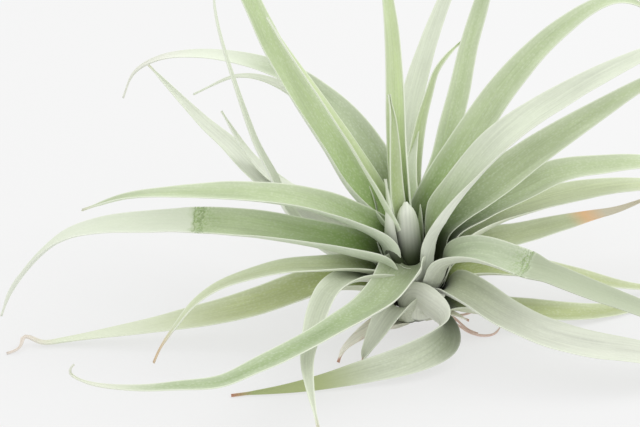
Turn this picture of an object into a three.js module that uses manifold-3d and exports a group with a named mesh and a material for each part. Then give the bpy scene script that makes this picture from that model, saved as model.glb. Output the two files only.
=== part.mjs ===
// An air plant, as it rests on a table: a short woody stem, a rosette of long channelled leaves that
// clasp it one above another, three dried leaf bases under them and a few wiry roots.
// Millimetres, +Z up. Leaf points are measured from the foot of the stem. A heading is a compass angle
// about the stem: 0 is +X, 90 is +Y.

import * as THREE from 'three';
import { mergeVertices } from 'three/addons/utils/BufferGeometryUtils.js';
import Module from 'manifold-3d';

const wasm = await Module();
wasm.setup();

// ---- Driving dimensions -------------------------------------------------------------------------

const CLEARANCE = 0.35; // air left between neighbouring pieces
const SURFACE_GAP = 0.1; // lowest leaves lie this far above the table

const STEM_FOOT_RADIUS = 4.2;
const STEM_TOP_RADIUS = 1.8;
const STEM_FOOT = 5.4; // height of the broken lower end
const STEM_SHOULDER = 9; // above this the stem tapers
const STEM_TOP = 24;

const FIRST_SEAT = 7.2; // height of the oldest leaf's base on the stem
const SEAT_STEP = 0.36; // rise of the spiral from one leaf to the next

const BASE_THICKNESS = 0.7;
const BLADE_THICKNESS = 0.8;
const TIP_THICKNESS = 0.5;
const TIP_WIDTH = 0.9; // a leaf ends in a thread this wide
const SHEATH_REACH = 55; // degrees, half the angle that a sheath wraps round the stem
const CHANNEL = [80, 64, 48, 36, 30, 28, 28]; // half the angle of a leaf's channel, base to tip
const SHEATH_END = 0.12; // share of a leaf that clasps the stem
const PINCH_LENGTH = 0.05; // share of a scarred leaf over which it narrows

const LEAF_STATIONS = 16;
const INNER_COLUMNS = [-0.7, 0, 0.7]; // a section's inner points, from midrib 0 to margin 1

const ROOT_RADIUS = 0.55;
const ROOT_STATIONS = 14;
const ROOT_SIDES = 6;

// ---- Finishes -----------------------------------------------------------------------------------

const FINISHES = {
  leaf: { color: 0x9fb08a, roughness: 0.75, metalness: 0 },
  young_leaf: { color: 0xc3cfb4, roughness: 0.75, metalness: 0 },
  dried_leaf: { color: 0xcdb9a0, roughness: 0.85, metalness: 0 },
  stem: { color: 0x8a7358, roughness: 0.9, metalness: 0 },
  root: { color: 0x8b4a35, roughness: 0.8, metalness: 0 },
};

// ---- Leaves, oldest first -----------------------------------------------------------------------
// around: heading of the base on the stem. width: broadest width of the blade. through: points of the
// midrib beyond the sheath. roll: twist about the midrib at even steps from base to tip, in degrees.
// taper: how late the blade narrows. pinch: beyond this share of its length a scarred leaf is narrower.
// channel: half the angle of its channel at even steps. reach: half the angle that its sheath wraps.
// sheath: the share of its length that clasps the stem.

const LEAVES = [
  { name: 'leaf_right_low', around: 5, width: 12.5, roll: [0, 5, 15, 12, 0], through: [[11, 1, 10],
      [25, 3, 7], [41, 6, 4], [57, 9, 2], [76, 17, 0.8], [92, 28, 0.4]] },
  { name: 'leaf_back_floor', around: 112, width: 12.5, through: [[-4, 10, 11], [-8, 24, 9],
      [-11, 42, 4], [-12, 62, 1], [-8, 82, 0.4]] },
  { name: 'leaf_left_low_broad', around: 185, width: 14, roll: [0, -10, -25, -25, -14, 0, 0],
    through: [[-10, -1, 17], [-23, -1, 19], [-35, -2, 16], [-47, -3, 12], [-59, -4, 9], [-77, -6, 6],
      [-96, -7, 3], [-108, -8, 1.4], [-113, -9, 1.2], [-119, -7, 3], [-119, -12, 1.2],
      [-123, -14, 0.4]] },
  { name: 'leaf_front_under', around: 243, width: 12.5, reach: 88, channel: [88, 80, 70, 70, 80],
    through: [[-3.9, -7.8, 15.4], [-7, -13.8, 15.8], [-11, -19.3, 12], [-14.8, -20.5, 5],
      [-15.6, -18, 0.4]] },
  { name: 'leaf_back_right_floor', around: 70, width: 12, through: [[5, 10, 12], [13, 21, 12],
      [24, 35, 7], [33, 47, 1.5], [40, 57, 0.4]] },
  { name: 'leaf_front_twist', around: 282, width: 15.4, taper: 1.15, reach: 88,
    roll: [0, -40, -35, -15, -6, 0, 0, 0, 0, 0, 0], channel: [86, 80, 62, 42, 32, 28, 28, 28],
    through: [[2.1, -7.9, 15], [5.4, -12.2, 15.5], [9.2, -16, 13.5], [9.4, -20, 11], [5, -24, 8.9],
      [-3, -28, 7], [-18, -32, 4.4], [-34, -35.5, 2.2], [-54, -38, 0.6]] },
  { name: 'leaf_back_left_floor', around: 155, width: 12, through: [[-9, 5, 15], [-18, 14, 16],
      [-26, 24, 11], [-34, 34, 4.5], [-44, 43, 0.4]] },
  { name: 'leaf_right_cross', around: 15, width: 12, roll: [0, 15, 28, 28, 15, 0],
    through: [[11, 2, 20], [21, 6, 20], [37, 12, 16], [54, 18, 10], [75, 24, 3], [95, 28, 0.4]] },
  { name: 'leaf_front_right_broad', around: 322, width: 13, taper: 2.2, roll: [0, 3, 6, 6, 5, 0],
    through: [[9, -7, 20.5], [15, -13, 21], [24, -21.5, 18.5], [35, -27.5, 15.5], [47, -30.5, 13.2],
      [64, -31, 10.5], [83, -28, 4.6], [102, -21, 1.2], [114, -12, 0.4]] },
  { name: 'leaf_back_mid', around: 88, width: 12, through: [[1, 11, 24], [5, 25, 27], [8, 44, 25],
      [9, 64, 18], [12, 84, 8]] },
  { name: 'leaf_left_thin_arch', around: 208, width: 11, taper: 1.5, reach: 35,
    roll: [0, -6, -12, -10, 0], through: [[-8, -2.6, 21], [-16, -6.8, 26.6], [-29, -12, 29.3],
      [-39, -14, 29.7], [-49, -17, 28.6], [-58, -20, 26.5], [-65, -23, 22.6], [-70.5, -26, 16.5],
      [-75, -27, 10], [-77, -28, 5.5]] },
  { name: 'leaf_right_orange', around: 45, width: 12, roll: [0, 5, 15, 15, 10, 0], through: [[9, 8, 22],
      [22, 16, 23], [35, 24, 22], [49, 32, 22], [60, 38, 22], [70, 43, 22], [84, 49, 25]] },
  { name: 'leaf_left_olive', around: 222, width: 13, taper: 1.2, reach: 32,
    through: [[-7.5, -4.2, 20.4], [-13, -8, 24], [-20, -13.8, 26.4], [-25.5, -20, 25.8],
      [-29, -28, 22.5], [-31, -38, 19], [-32, -48, 17.5], [-31, -60, 15.5], [-29, -75, 14]] },
  { name: 'leaf_back_left_low', around: 128, width: 14, taper: 2.2, through: [[-7, 9, 23],
      [-16, 18, 24], [-25, 28, 24.5], [-38, 38, 28], [-50, 48, 34], [-58, 56, 39], [-69, 64, 46],
      [-87, 76, 61]] },
  { name: 'leaf_right_back_low', around: 25, width: 13.5, taper: 2.2, roll: [0, 8, 24, 28, 20, 5],
    through: [[10, 6, 26], [22, 18, 29], [35, 27, 30.5], [49, 34, 31], [63, 40, 31], [77, 45, 30],
      [98, 52, 27], [118, 58, 19]] },
  { name: 'leaf_left_rising', around: 172, width: 11, taper: 1.4, through: [[-9, 3, 23], [-17, 6, 23],
      [-25, 9, 24], [-34, 12, 30], [-40, 15, 38], [-43, 18, 45], [-48, 21, 54], [-53, 24, 68],
      [-58, 28, 84], [-60, 30, 93], [-61, 32, 106]] },
  { name: 'leaf_back_left_short', around: 145, width: 13, taper: 2.2, through: [[-8, 8, 27],
      [-16, 18, 29], [-25, 28, 29], [-35, 37, 30.5], [-45, 45, 33], [-53, 51, 40], [-61, 55, 52]] },
  { name: 'leaf_left_scar', around: 195, width: 13.2, taper: 3, roll: [0, -6, -16, -15, -10, 0],
    channel: [85, 76, 62, 50, 42, 36, 30, 28], pinch: { from: 0.475, to: 0.95 }, through: [[-9, -2, 27],
      [-21, -6, 33.5], [-34, -8, 37.5], [-49, -10, 41], [-63, -11, 42.7], [-78, -10, 42], [-94, -6, 39],
      [-106, -2, 33.5], [-117, 2, 22.5], [-124, 4, 12.5], [-128, 5, 3]] },
  { name: 'leaf_right_scar', around: 328, width: 13, taper: 2.4, roll: [0, 12, 20, 18, 10, 0],
    channel: [85, 66, 50, 40, 34, 30, 28], pinch: { from: 0.32, to: 0.76 }, through: [[8.5, -6, 28.6],
      [16.5, -10, 32.8], [33, -17, 30.8], [53, -21, 24.4], [80, -22, 14.4], [100, -18, 6.4],
      [116, -12, 0.6]] },
  { name: 'leaf_front_long', around: 250, width: 15.6, taper: 1.15, reach: 40, sheath: 0.05,
    roll: [0, 0, 2, -8, -12, 0], channel: [88, 84, 58, 42, 34, 30, 28, 28, 28, 28, 28],
    through: [[-1.7, -6.8, 29], [-4.6, -11.5, 26.6], [-11.3, -23, 23.8], [-21.5, -36, 23.8],
      [-34.5, -50, 23.5], [-45, -59, 23], [-55, -65, 21.5], [-66, -66, 21], [-76, -64, 19],
      [-88, -60, 17.5], [-94, -57, 17.5], [-97, -56, 19], [-95, -57, 22]] },
  { name: 'leaf_back_faint_arc', around: 120, width: 11, through: [[-7, 11, 31], [-14, 22, 39],
      [-27, 42, 54], [-42, 56, 61], [-56, 64, 61], [-71, 68, 53]] },
  { name: 'leaf_right_back_high', around: 48, width: 12.5, taper: 2.2, roll: [0, 3, 8, 8, 3, 0],
    through: [[9, 9, 30], [21, 17, 34], [34, 24, 37.5], [47, 30, 41], [61, 35, 41.2], [76, 39, 40.6],
      [96, 44, 36], [114, 48, 27]] },
  { name: 'leaf_left_arch', around: 182, width: 12.6, taper: 2.2, roll: [0, 0, -6, -10, -6, 0],
    channel: [85, 80, 70, 56, 45, 36, 30, 28], through: [[-8, -1, 33], [-20, -3, 41.5], [-31, -5, 46.5],
      [-43, -6, 49.2], [-55, -7, 50.7], [-66, -7, 50.7], [-78, -7, 50.2], [-87, -6, 48.5],
      [-99, -3, 43]] },
  { name: 'leaf_back_curl', around: 98, width: 7, roll: [0, 0, 15, 25, 25, 0],
    channel: [80, 70, 60, 60, 60, 50], through: [[0, 13, 32], [0, 20, 39], [1, 28, 46], [3.2, 34, 57],
      [6, 39, 65], [8, 42, 70.5], [11.5, 45, 74.5], [15, 49, 76.6], [18.5, 53, 78]] },
  { name: 'leaf_right_fan', around: 62, width: 13, taper: 2, roll: [0, 5, 12, 15, 10, 0],
    through: [[6, 8, 33], [13, 12, 37], [25, 18, 43], [40, 24, 52], [59, 31, 62], [75, 35, 70.5],
      [94, 38, 78]] },
  { name: 'leaf_left_back_arch', around: 112, width: 12.5, taper: 2, through: [[-5, 12, 31],
      [-8, 23, 39], [-14, 32, 49], [-21, 39, 56], [-29, 45, 61.5], [-38, 52, 65.5], [-51, 60, 67.5],
      [-68, 66, 68], [-82, 69, 65.5], [-91, 70, 60], [-95, 70, 51]] },
  { name: 'leaf_right_front_arch', around: 325, width: 13.5, taper: 2, roll: [0, 40, 60, 65, 60, 40],
    channel: [85, 75, 60, 45, 35, 28, 28], through: [[4, -4, 34], [6.2, -5, 42], [11, -5, 50],
      [24, -1, 64.5], [42, 4, 76], [65, 9, 87], [85, 12, 94], [100, 14, 97]] },
  { name: 'leaf_back_right_tall', around: 80, width: 8, taper: 2.5, through: [[3, 9, 33], [6, 18, 39.5],
      [10, 26, 47], [12.6, 33, 55.5], [15.6, 40, 65], [18.8, 48, 77], [23, 54, 90], [27, 60, 104],
      [34, 67, 117], [45, 75, 124]] },
  { name: 'leaf_left_upper_broad', around: 142, width: 15, taper: 3, through: [[-5, 6, 34],
      [-9, 11, 36], [-16.5, 16, 42], [-24, 23, 52], [-34, 32, 65], [-43.3, 38, 79], [-50.5, 43, 93.5],
      [-58, 48, 108], [-68, 54, 119], [-80, 60, 124], [-93, 65, 120]] },
  { name: 'leaf_back_tall', around: 92, width: 9, taper: 2.2, through: [[-2, 7, 36], [-3, 17, 43],
      [-2, 29, 49], [0, 39, 59], [5, 51, 73], [12, 63, 88], [20, 74, 102], [30, 85, 112]] },
  { name: 'leaf_back_right_arch', around: 50, width: 12.5, taper: 2, roll: [0, 3, 10, 12, 8, 0],
    through: [[4, 5, 37], [8, 9, 45], [16, 15, 57], [28, 23, 73], [44, 30, 88], [60, 35, 96],
      [71, 37, 93], [80, 38, 83]] },
  { name: 'leaf_left_upper_edge', around: 175, width: 11, through: [[-5, 0, 36], [-9, 0, 45],
      [-18, 0, 61], [-28, 3, 76], [-38, 9, 89], [-44, 14, 97]] },
  { name: 'leaf_heart_front', around: 270, width: 7, taper: 9, finish: 'young_leaf', reach: 85,
    channel: [80, 70, 62, 55], through: [[-1.6, -4.4, 30], [-2.4, -3.9, 37], [-3.2, -2.8, 45.6]] },
  { name: 'leaf_centre_upright', around: 65, width: 6.4, taper: 3.5,
    channel: [88, 88, 85, 75, 70, 60, 45], through: [[-3, 2, 35], [-4.8, 3, 52.5], [-5.8, 4.5, 66],
      [-6.4, 6, 80], [-7.4, 10, 93.5], [-9.4, 15, 108], [-12, 22, 126]] },
  { name: 'leaf_centre_inner', around: 120, width: 4.6, taper: 4, channel: [85, 85, 85, 80, 70],
    through: [[-4.4, -0.8, 38], [-5.8, -0.6, 46], [-6.4, -0.2, 54], [-6.8, 0, 62], [-7.4, 0.5, 70],
      [-8.6, 1, 78]] },
  { name: 'leaf_heart_left', around: 232, width: 7.2, taper: 1.5, finish: 'young_leaf', reach: 80,
    channel: [80, 70, 60, 50], through: [[-6.8, -4.6, 28], [-7.8, -4.2, 35], [-8.1, -3, 41],
      [-8.3, -1.6, 46], [-9.3, -0.6, 52]] },
];

// ---- Dried leaf bases and roots -----------------------------------------------------------------

const DRIED_BASES = [
  { name: 'dried_base_front', around: 222, width: 9, seat: 6.2, channel: [80, 60, 45, 35, 30],
    through: [[-11, -10, 8], [-18, -15, 6], [-22, -18, 3.6], [-23, -19.3, 0.5]] },
  { name: 'dried_base_right', around: 342, width: 6, seat: 6.2,
    through: [[8, -2.6, 8.7], [13, -3.6, 8.2], [17, -4, 6.2]] },
  { name: 'dried_base_back', around: 60, width: 6, seat: 6.2,
    through: [[5, 9, 6], [9, 15, 4], [12, 22, 1]] },
];

const ROOTS = [
  { name: 'root_right', points: [[2.9, 1, 4.9], [8, 2, 5.2], [12.5, 1.6, 4.4], [16, 0.4, 1.8],
    [18, -0.8, 0.8], [20.3, -2, 0.7]] },
  { name: 'root_loop', points: [[2.6, -0.9, 4.9], [8, -0.8, 5.2], [13, -1.8, 4], [18, -3.2, 1.4],
    [22.5, -3.6, 0.7], [25.4, -2.6, 0.9], [27.2, -0.4, 1.8]] },
  { name: 'root_left', points: [[-2.5, 1, 4.6], [-6, 4, 4.2], [-10, 7.5, 2.6], [-13, 9, 1],
    [-16, 13, 0.7]] },
  { name: 'root_back', points: [[0.3, 2.6, 4.4], [1, 7, 4.2], [0, 12, 2.6], [-2, 16, 1],
    [-1, 22, 0.7]] },
  { name: 'root_back_left', points: [[-1.9, 1.8, 4.4], [-5, 5, 4.2], [-9, 9, 2.6], [-13, 12, 1],
    [-16, 18, 0.7]] },
  { name: 'root_back_right', points: [[1.9, 1.8, 4.4], [6, 5, 4.2], [11, 7, 2.6], [16, 9, 1],
    [22, 13, 0.7]] },
];

// ---- Small functions ----------------------------------------------------------------------------

function mix(a, b, share) {
  return a + (b - a) * share;
}

function ease(share) {
  return share * share * (3 - 2 * share);
}

function stemRadius(height) {
  const rise = THREE.MathUtils.clamp((height - STEM_SHOULDER) / (STEM_TOP - STEM_SHOULDER), 0, 1);
  return mix(STEM_FOOT_RADIUS, STEM_TOP_RADIUS, rise);
}

function valueAlong(values, share) {
  if (values.length === 1) return values[0];
  const place = share * (values.length - 1);
  const step = Math.min(Math.floor(place), values.length - 2);
  return mix(values[step], values[step + 1], ease(place - step));
}

function halfWidth(leaf, share, fromAxis) {
  const taper = (1 - share ** (leaf.taper ?? 1.7)) ** 1.1;
  const scarred = leaf.pinch && share > leaf.pinch.from;
  const narrowed = scarred ? Math.min((share - leaf.pinch.from) / PINCH_LENGTH, 1) : 0;
  const full = leaf.width / 2 * taper * mix(1, leaf.pinch?.to ?? 1, ease(narrowed));
  const reach = fromAxis * Math.sin(THREE.MathUtils.degToRad(leaf.reach ?? SHEATH_REACH));
  return Math.max(Math.min(full, reach), TIP_WIDTH / 2);
}

// A sheath is as curved as the stem it clasps. Beyond it the channel is deep, then opens.
function channelFold(leaf, share, clasp) {
  const blade = THREE.MathUtils.degToRad(valueAlong(leaf.channel ?? CHANNEL, share));
  const sheath = leaf.sheath ?? SHEATH_END;
  return share < sheath ? Math.min(Math.max(clasp, blade * share / sheath), blade) : blade;
}

// The midrib starts on the stem, leaves it steeply as a clasping sheath, then follows its own points.
function midrib(leaf) {
  const angle = THREE.MathUtils.degToRad(leaf.around);
  const outward = new THREE.Vector3(Math.cos(angle), Math.sin(angle), 0);
  const foot = stemRadius(leaf.seat) + CLEARANCE + BASE_THICKNESS / 2;
  const base = outward.clone().multiplyScalar(foot).setZ(leaf.seat);
  const points = leaf.through.map((point) => new THREE.Vector3(...point));
  const sheath = base.clone().lerp(points[0], 0.45);
  sheath.addScaledVector(outward, 0.6);
  return new THREE.CatmullRomCurve3([base, sheath, ...points], false, 'centripetal');
}

// ---- Leaf blade ---------------------------------------------------------------------------------
// A section has two margins, and the inner columns on each face. `swellBy` grows the whole blade
// evenly, for the room that its neighbours leave it.

function bladeSection(centre, side, normal, half, fold, thickness, swellBy) {
  const radius = half / Math.sin(fold);
  const middle = radius * (1 - Math.cos(fold)) / 2;
  const place = (column, lift) => {
    const angle = column * fold;
    const across = (radius - lift) * Math.sin(angle);
    const up = radius - (radius - lift) * Math.cos(angle) - middle;
    return centre.clone().addScaledVector(side, across).addScaledVector(normal, up);
  };
  const margin = 1 + swellBy / half;
  const lift = thickness / 2 + swellBy;
  return [
    place(-margin, 0), ...INNER_COLUMNS.map((column) => place(column, -lift)),
    place(margin, 0), ...INNER_COLUMNS.toReversed().map((column) => place(column, lift)),
  ];
}

function bladeSections(leaf, swellBy) {
  const curve = midrib(leaf);
  curve.arcLengthDivisions = 400;
  const around = THREE.MathUtils.degToRad(leaf.around);
  const side = new THREE.Vector3(-Math.sin(around), Math.cos(around), 0);
  const sections = [];
  for (let station = 0; station <= LEAF_STATIONS; station += 1) {
    const share = (station / LEAF_STATIONS) ** 1.25;
    const centre = curve.getPointAt(share);
    const tangent = curve.getTangentAt(share);
    side.addScaledVector(tangent, -side.dot(tangent)).normalize();
    const roll = THREE.MathUtils.degToRad(valueAlong(leaf.roll ?? [0], share));
    const turned = side.clone().applyAxisAngle(tangent, roll);
    const normal = tangent.clone().cross(turned);
    const fromAxis = Math.hypot(centre.x, centre.y);
    const half = halfWidth(leaf, share, fromAxis);
    const fold = channelFold(leaf, share, Math.asin(Math.min(half / fromAxis, 1)));
    const thickness = share < 0.5
      ? mix(BASE_THICKNESS, BLADE_THICKNESS, share * 2)
      : mix(BLADE_THICKNESS, TIP_THICKNESS, share * 2 - 1);
    if (swellBy > 0 && station === 0) centre.addScaledVector(tangent, -swellBy);
    const section = bladeSection(centre, turned, normal, half, fold, thickness, swellBy);
    const lowest = Math.min(...section.map((point) => point.z));
    const lift = Math.max(0, SURFACE_GAP - swellBy - lowest);
    section.forEach((point) => { point.z += lift; });
    sections.push(section);
  }
  return sections;
}

function loft(sections) {
  const count = sections[0].length;
  const positions = sections.flat().flatMap((point) => [point.x, point.y, point.z]);
  const faces = [];
  for (let row = 0; row < sections.length - 1; row += 1) {
    for (let column = 0; column < count; column += 1) {
      const a = row * count + column;
      const b = row * count + ((column + 1) % count);
      faces.push(a, b, a + count, b, b + count, a + count);
    }
  }
  const last = (sections.length - 1) * count;
  for (let column = 1; column < count / 2; column += 1) {
    const over = count - column;
    const cap = [(over + 1) % count, column, over, column, column + 1, over];
    faces.push(...cap.map((point) => last + point), ...cap.toReversed());
  }
  const geometry = new THREE.BufferGeometry();
  geometry.setAttribute('position', new THREE.Float32BufferAttribute(positions, 3));
  geometry.setIndex(faces);
  return geometry;
}

// ---- Solids -------------------------------------------------------------------------------------

function toSolid(geometry) {
  const bare = geometry.clone();
  bare.deleteAttribute('normal');
  bare.deleteAttribute('uv');
  const merged = mergeVertices(bare, 1e-4);
  const vertProperties = new Float32Array(merged.attributes.position.array);
  const triVerts = new Uint32Array(merged.index.array);
  return new wasm.Manifold(new wasm.Mesh({ numProp: 3, vertProperties, triVerts }));
}

function toGeometry(solid) {
  const mesh = solid.getMesh();
  const geometry = new THREE.BufferGeometry();
  geometry.setAttribute('position', new THREE.Float32BufferAttribute(mesh.vertProperties, 3));
  geometry.setIndex(Array.from(mesh.triVerts));
  geometry.computeVertexNormals();
  return geometry;
}

function largestPiece(solid) {
  return solid.decompose().reduce((best, piece) => (piece.volume() > best.volume() ? piece : best));
}

function addPiece(group, name, solid, finish) {
  const mesh = new THREE.Mesh(toGeometry(solid), new THREE.MeshStandardMaterial(FINISHES[finish]));
  mesh.name = name;
  group.add(mesh);
}

// ---- Stem and roots -----------------------------------------------------------------------------

function stemGeometry() {
  const profile = [
    [0, STEM_FOOT], [STEM_FOOT_RADIUS * 0.7, STEM_FOOT], [STEM_FOOT_RADIUS, STEM_FOOT + 1],
    [STEM_FOOT_RADIUS, STEM_SHOULDER], [STEM_TOP_RADIUS, STEM_TOP - 1], [0, STEM_TOP],
  ];
  const lathe = new THREE.LatheGeometry(profile.map(([r, z]) => new THREE.Vector2(r, z)), 16);
  return lathe.rotateX(Math.PI / 2);
}

function rootGeometry(root) {
  const curve = new THREE.CatmullRomCurve3(root.points.map((point) => new THREE.Vector3(...point)));
  const outline = new THREE.Shape(new THREE.EllipseCurve(0, 0, ROOT_RADIUS, ROOT_RADIUS)
    .getPoints(ROOT_SIDES));
  return new THREE.ExtrudeGeometry(outline, { extrudePath: curve, steps: ROOT_STATIONS });
}

// ---- Assembly -----------------------------------------------------------------------------------
// Younger leaves keep their shape, and an older one gives way where a younger one presses into it.

const plant = new THREE.Group();
addPiece(plant, 'stem', toSolid(stemGeometry()), 'stem');
ROOTS.forEach((root) => addPiece(plant, root.name, toSolid(rootGeometry(root)), 'root'));

const seated = [
  ...DRIED_BASES.map((base) => ({ finish: 'dried_leaf', ...base })),
  ...LEAVES.map((leaf, index) => ({ finish: 'leaf', seat: FIRST_SEAT + SEAT_STEP * index, ...leaf })),
];
const taken = [];
for (const leaf of seated.toReversed()) {
  const whole = toSolid(loft(bladeSections(leaf, 0)));
  const room = toSolid(loft(bladeSections(leaf, CLEARANCE)));
  const presses = taken.filter((other) => whole.intersect(other).volume() > 0);
  const fitted = presses.reduce((solid, other) => solid.subtract(other), whole);
  addPiece(plant, leaf.name, presses.length ? largestPiece(fitted) : whole, leaf.finish);
  taken.push(room);
}

// The origin is under the middle of the plant, on the table.
const box = new THREE.Box3().setFromObject(plant);
const middle = box.getCenter(new THREE.Vector3());
plant.position.set(-middle.x, -middle.y, -box.min.z);

export default plant;
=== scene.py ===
"""Looks of an air plant that rests on a table.

A rosette of long, channelled, silver-scaled leaves clasps a short woody stem, with three dried leaf
bases and a few wiry roots under it. Every size is in millimetres until it becomes a mesh. Points of
leaves and roots are measured from the foot, the point of the table under the stem, as in the CAD
source.
"""

import logging
import math
from dataclasses import dataclass
from enum import Enum

import bpy
import numpy as np
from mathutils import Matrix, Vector

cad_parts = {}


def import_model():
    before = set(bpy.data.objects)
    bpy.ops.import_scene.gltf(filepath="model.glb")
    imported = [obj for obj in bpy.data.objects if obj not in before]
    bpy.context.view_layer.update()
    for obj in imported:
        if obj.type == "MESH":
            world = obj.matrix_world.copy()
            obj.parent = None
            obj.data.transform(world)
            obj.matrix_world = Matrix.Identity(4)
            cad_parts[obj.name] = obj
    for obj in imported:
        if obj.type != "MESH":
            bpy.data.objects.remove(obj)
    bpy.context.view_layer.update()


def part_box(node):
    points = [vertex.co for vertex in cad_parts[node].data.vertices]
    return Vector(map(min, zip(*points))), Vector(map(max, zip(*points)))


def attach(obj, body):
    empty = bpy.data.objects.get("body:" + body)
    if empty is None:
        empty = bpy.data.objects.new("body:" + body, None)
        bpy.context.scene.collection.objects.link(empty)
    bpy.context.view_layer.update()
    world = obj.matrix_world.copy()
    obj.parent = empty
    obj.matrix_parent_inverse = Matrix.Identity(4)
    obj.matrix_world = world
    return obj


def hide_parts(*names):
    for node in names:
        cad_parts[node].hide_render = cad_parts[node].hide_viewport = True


MM = 0.001
PATH_STEP = 0.25  # millimetres between the points of a drawn path
SPAN_POINTS = 40  # points drawn from one given point to the next, before they are spaced evenly
LEAST_STEPS = 8  # of the shortest path
TWIST_SOFTNESS = 0.025  # share of a path over which its twist is eased
STATION_CROWDING = 1.15  # above 1, stations stand closer together at the base
LOG = logging.getLogger("air_plant")
Points = tuple[tuple[float, float, float], ...]
Tree = bpy.types.NodeTree
Socket = bpy.types.NodeSocket


# ---- Colour and nodes ----------------------------------------------------------------------------


def linear(colour: int) -> tuple[float, float, float, float]:
    """Turns an sRGB hex colour into the linear one that a material takes.

    Args:
        colour: The colour as 0xRRGGBB.

    Returns:
        Linear red, green, blue and an alpha of 1.
    """
    shares = [(colour >> shift & 255) / 255 for shift in (16, 8, 0)]
    bent = [c / 12.92 if c <= 0.04045 else ((c + 0.055) / 1.055) ** 2.4 for c in shares]
    return bent[0], bent[1], bent[2], 1.0


def add_node(
    tree: Tree, kind: str, inputs: dict[str | int, object] | None = None, **settings: object
) -> bpy.types.Node:
    """Adds one node with its settings, socket values and links.

    Args:
        tree: The node tree that takes the node.
        kind: The type of the node.
        inputs: Values for its sockets by name or number. A socket as a value is linked.
        **settings: Properties of the node itself.

    Returns:
        The new node.
    """
    node = tree.nodes.new(kind)
    for name, value in settings.items():
        setattr(node, name, value)
    for name, value in (inputs or {}).items():
        if isinstance(value, Socket):
            tree.links.new(value, node.inputs[name])
        else:
            node.inputs[name].default_value = value
    return node


def new_material(title: str) -> bpy.types.Material:
    """Makes a node material without nodes.

    Args:
        title: Its name.

    Returns:
        The material.
    """
    made = bpy.data.materials.new(title)
    made.use_nodes = True
    made.node_tree.nodes.clear()
    return made


# ---- Curves and frames ---------------------------------------------------------------------------


def ease(share: np.ndarray) -> np.ndarray:
    """Eases a share from 0 to 1 with level ends."""
    share = np.clip(share, 0, 1)
    return share * share * (3 - 2 * share)


def values_along(values: tuple[float, ...], share: np.ndarray) -> np.ndarray:
    """Reads a list of values that lie at even steps of a length, eased from one to the next.

    Args:
        values: The list.
        share: Places on the length, from 0 to 1.

    Returns:
        The value at each place.
    """
    place = share * (len(values) - 1)
    first = np.minimum(place.astype(int), len(values) - 2)
    known = np.array(values, float)
    return known[first] + (known[first + 1] - known[first]) * ease(place - first)


def blur(values: np.ndarray, reach: float) -> np.ndarray:
    """Smooths rows of values and keeps both ends where they are.

    Args:
        values: One row per step.
        reach: Standard deviation of the blur, in steps.

    Returns:
        The smoothed rows.
    """
    wide = int(math.ceil(reach * 3))
    kernel = np.exp(-0.5 * (np.arange(-wide, wide + 1) / reach) ** 2)
    kernel /= kernel.sum()
    flat = values.reshape(len(values), -1)
    before = 2 * flat[0] - flat[wide:0:-1]
    after = 2 * flat[-1] - flat[-2 : -wide - 2 : -1]
    padded = np.vstack([before, flat, after])
    columns = [np.convolve(column, kernel, "valid") for column in padded.T]
    return np.stack(columns, 1).reshape(values.shape)


def rounded_path(points: np.ndarray, softness: float) -> np.ndarray:
    """Draws a curve through points without loops at tight bends, evenly stepped and smoothed.

    Args:
        points: The points that the curve passes, in millimetres.
        softness: Length over which its bends are smoothed, in millimetres.

    Returns:
        Points along the curve, evenly spaced.
    """
    ends = [2 * points[0] - points[1], *points, 2 * points[-1] - points[-2]]
    drawn = []
    for p0, p1, p2, p3 in zip(ends, ends[1:], ends[2:], ends[3:]):
        d0, d1, d2 = (np.linalg.norm(b - a) ** 0.5 for a, b in ((p0, p1), (p1, p2), (p2, p3)))
        leave = ((p1 - p0) / d0 - (p2 - p0) / (d0 + d1) + (p2 - p1) / d1) * d1
        arrive = ((p2 - p1) / d1 - (p3 - p1) / (d1 + d2) + (p3 - p2) / d2) * d1
        t = np.linspace(0, 1, SPAN_POINTS, endpoint=False)[:, None]
        cubic = 2 * p1 - 2 * p2 + leave + arrive
        square = -3 * p1 + 3 * p2 - 2 * leave - arrive
        drawn.append(cubic * t**3 + square * t**2 + leave * t + p1)
    path = np.vstack([*drawn, points[-1:]])
    smooth = blur(even_steps(path, PATH_STEP), softness / PATH_STEP)
    return even_steps(smooth, PATH_STEP)


def even_steps(path: np.ndarray, step: float) -> np.ndarray:
    """Places points evenly along a path, about one step apart.

    Args:
        path: The points of the path.
        step: The distance wanted.

    Returns:
        The evenly spaced points.
    """
    reach = np.concatenate([[0], np.cumsum(np.linalg.norm(np.diff(path, axis=0), axis=1))])
    at = np.linspace(0, reach[-1], max(int(reach[-1] / step), LEAST_STEPS) + 1)
    return np.stack([np.interp(at, reach, column) for column in path.T], 1)


@dataclass
class Spine:
    """A path with a frame at each of its stations.

    Attributes:
        centre: The points of the path.
        along: Distance of each from the start, in millimetres.
        side: The way across, at right angles to the path.
        normal: The way out of the surface.
    """

    centre: np.ndarray
    along: np.ndarray
    side: np.ndarray
    normal: np.ndarray

    @property
    def share(self) -> np.ndarray:
        """How far along its length each station lies, from 0 to 1."""
        return self.along / self.along[-1]


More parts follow.
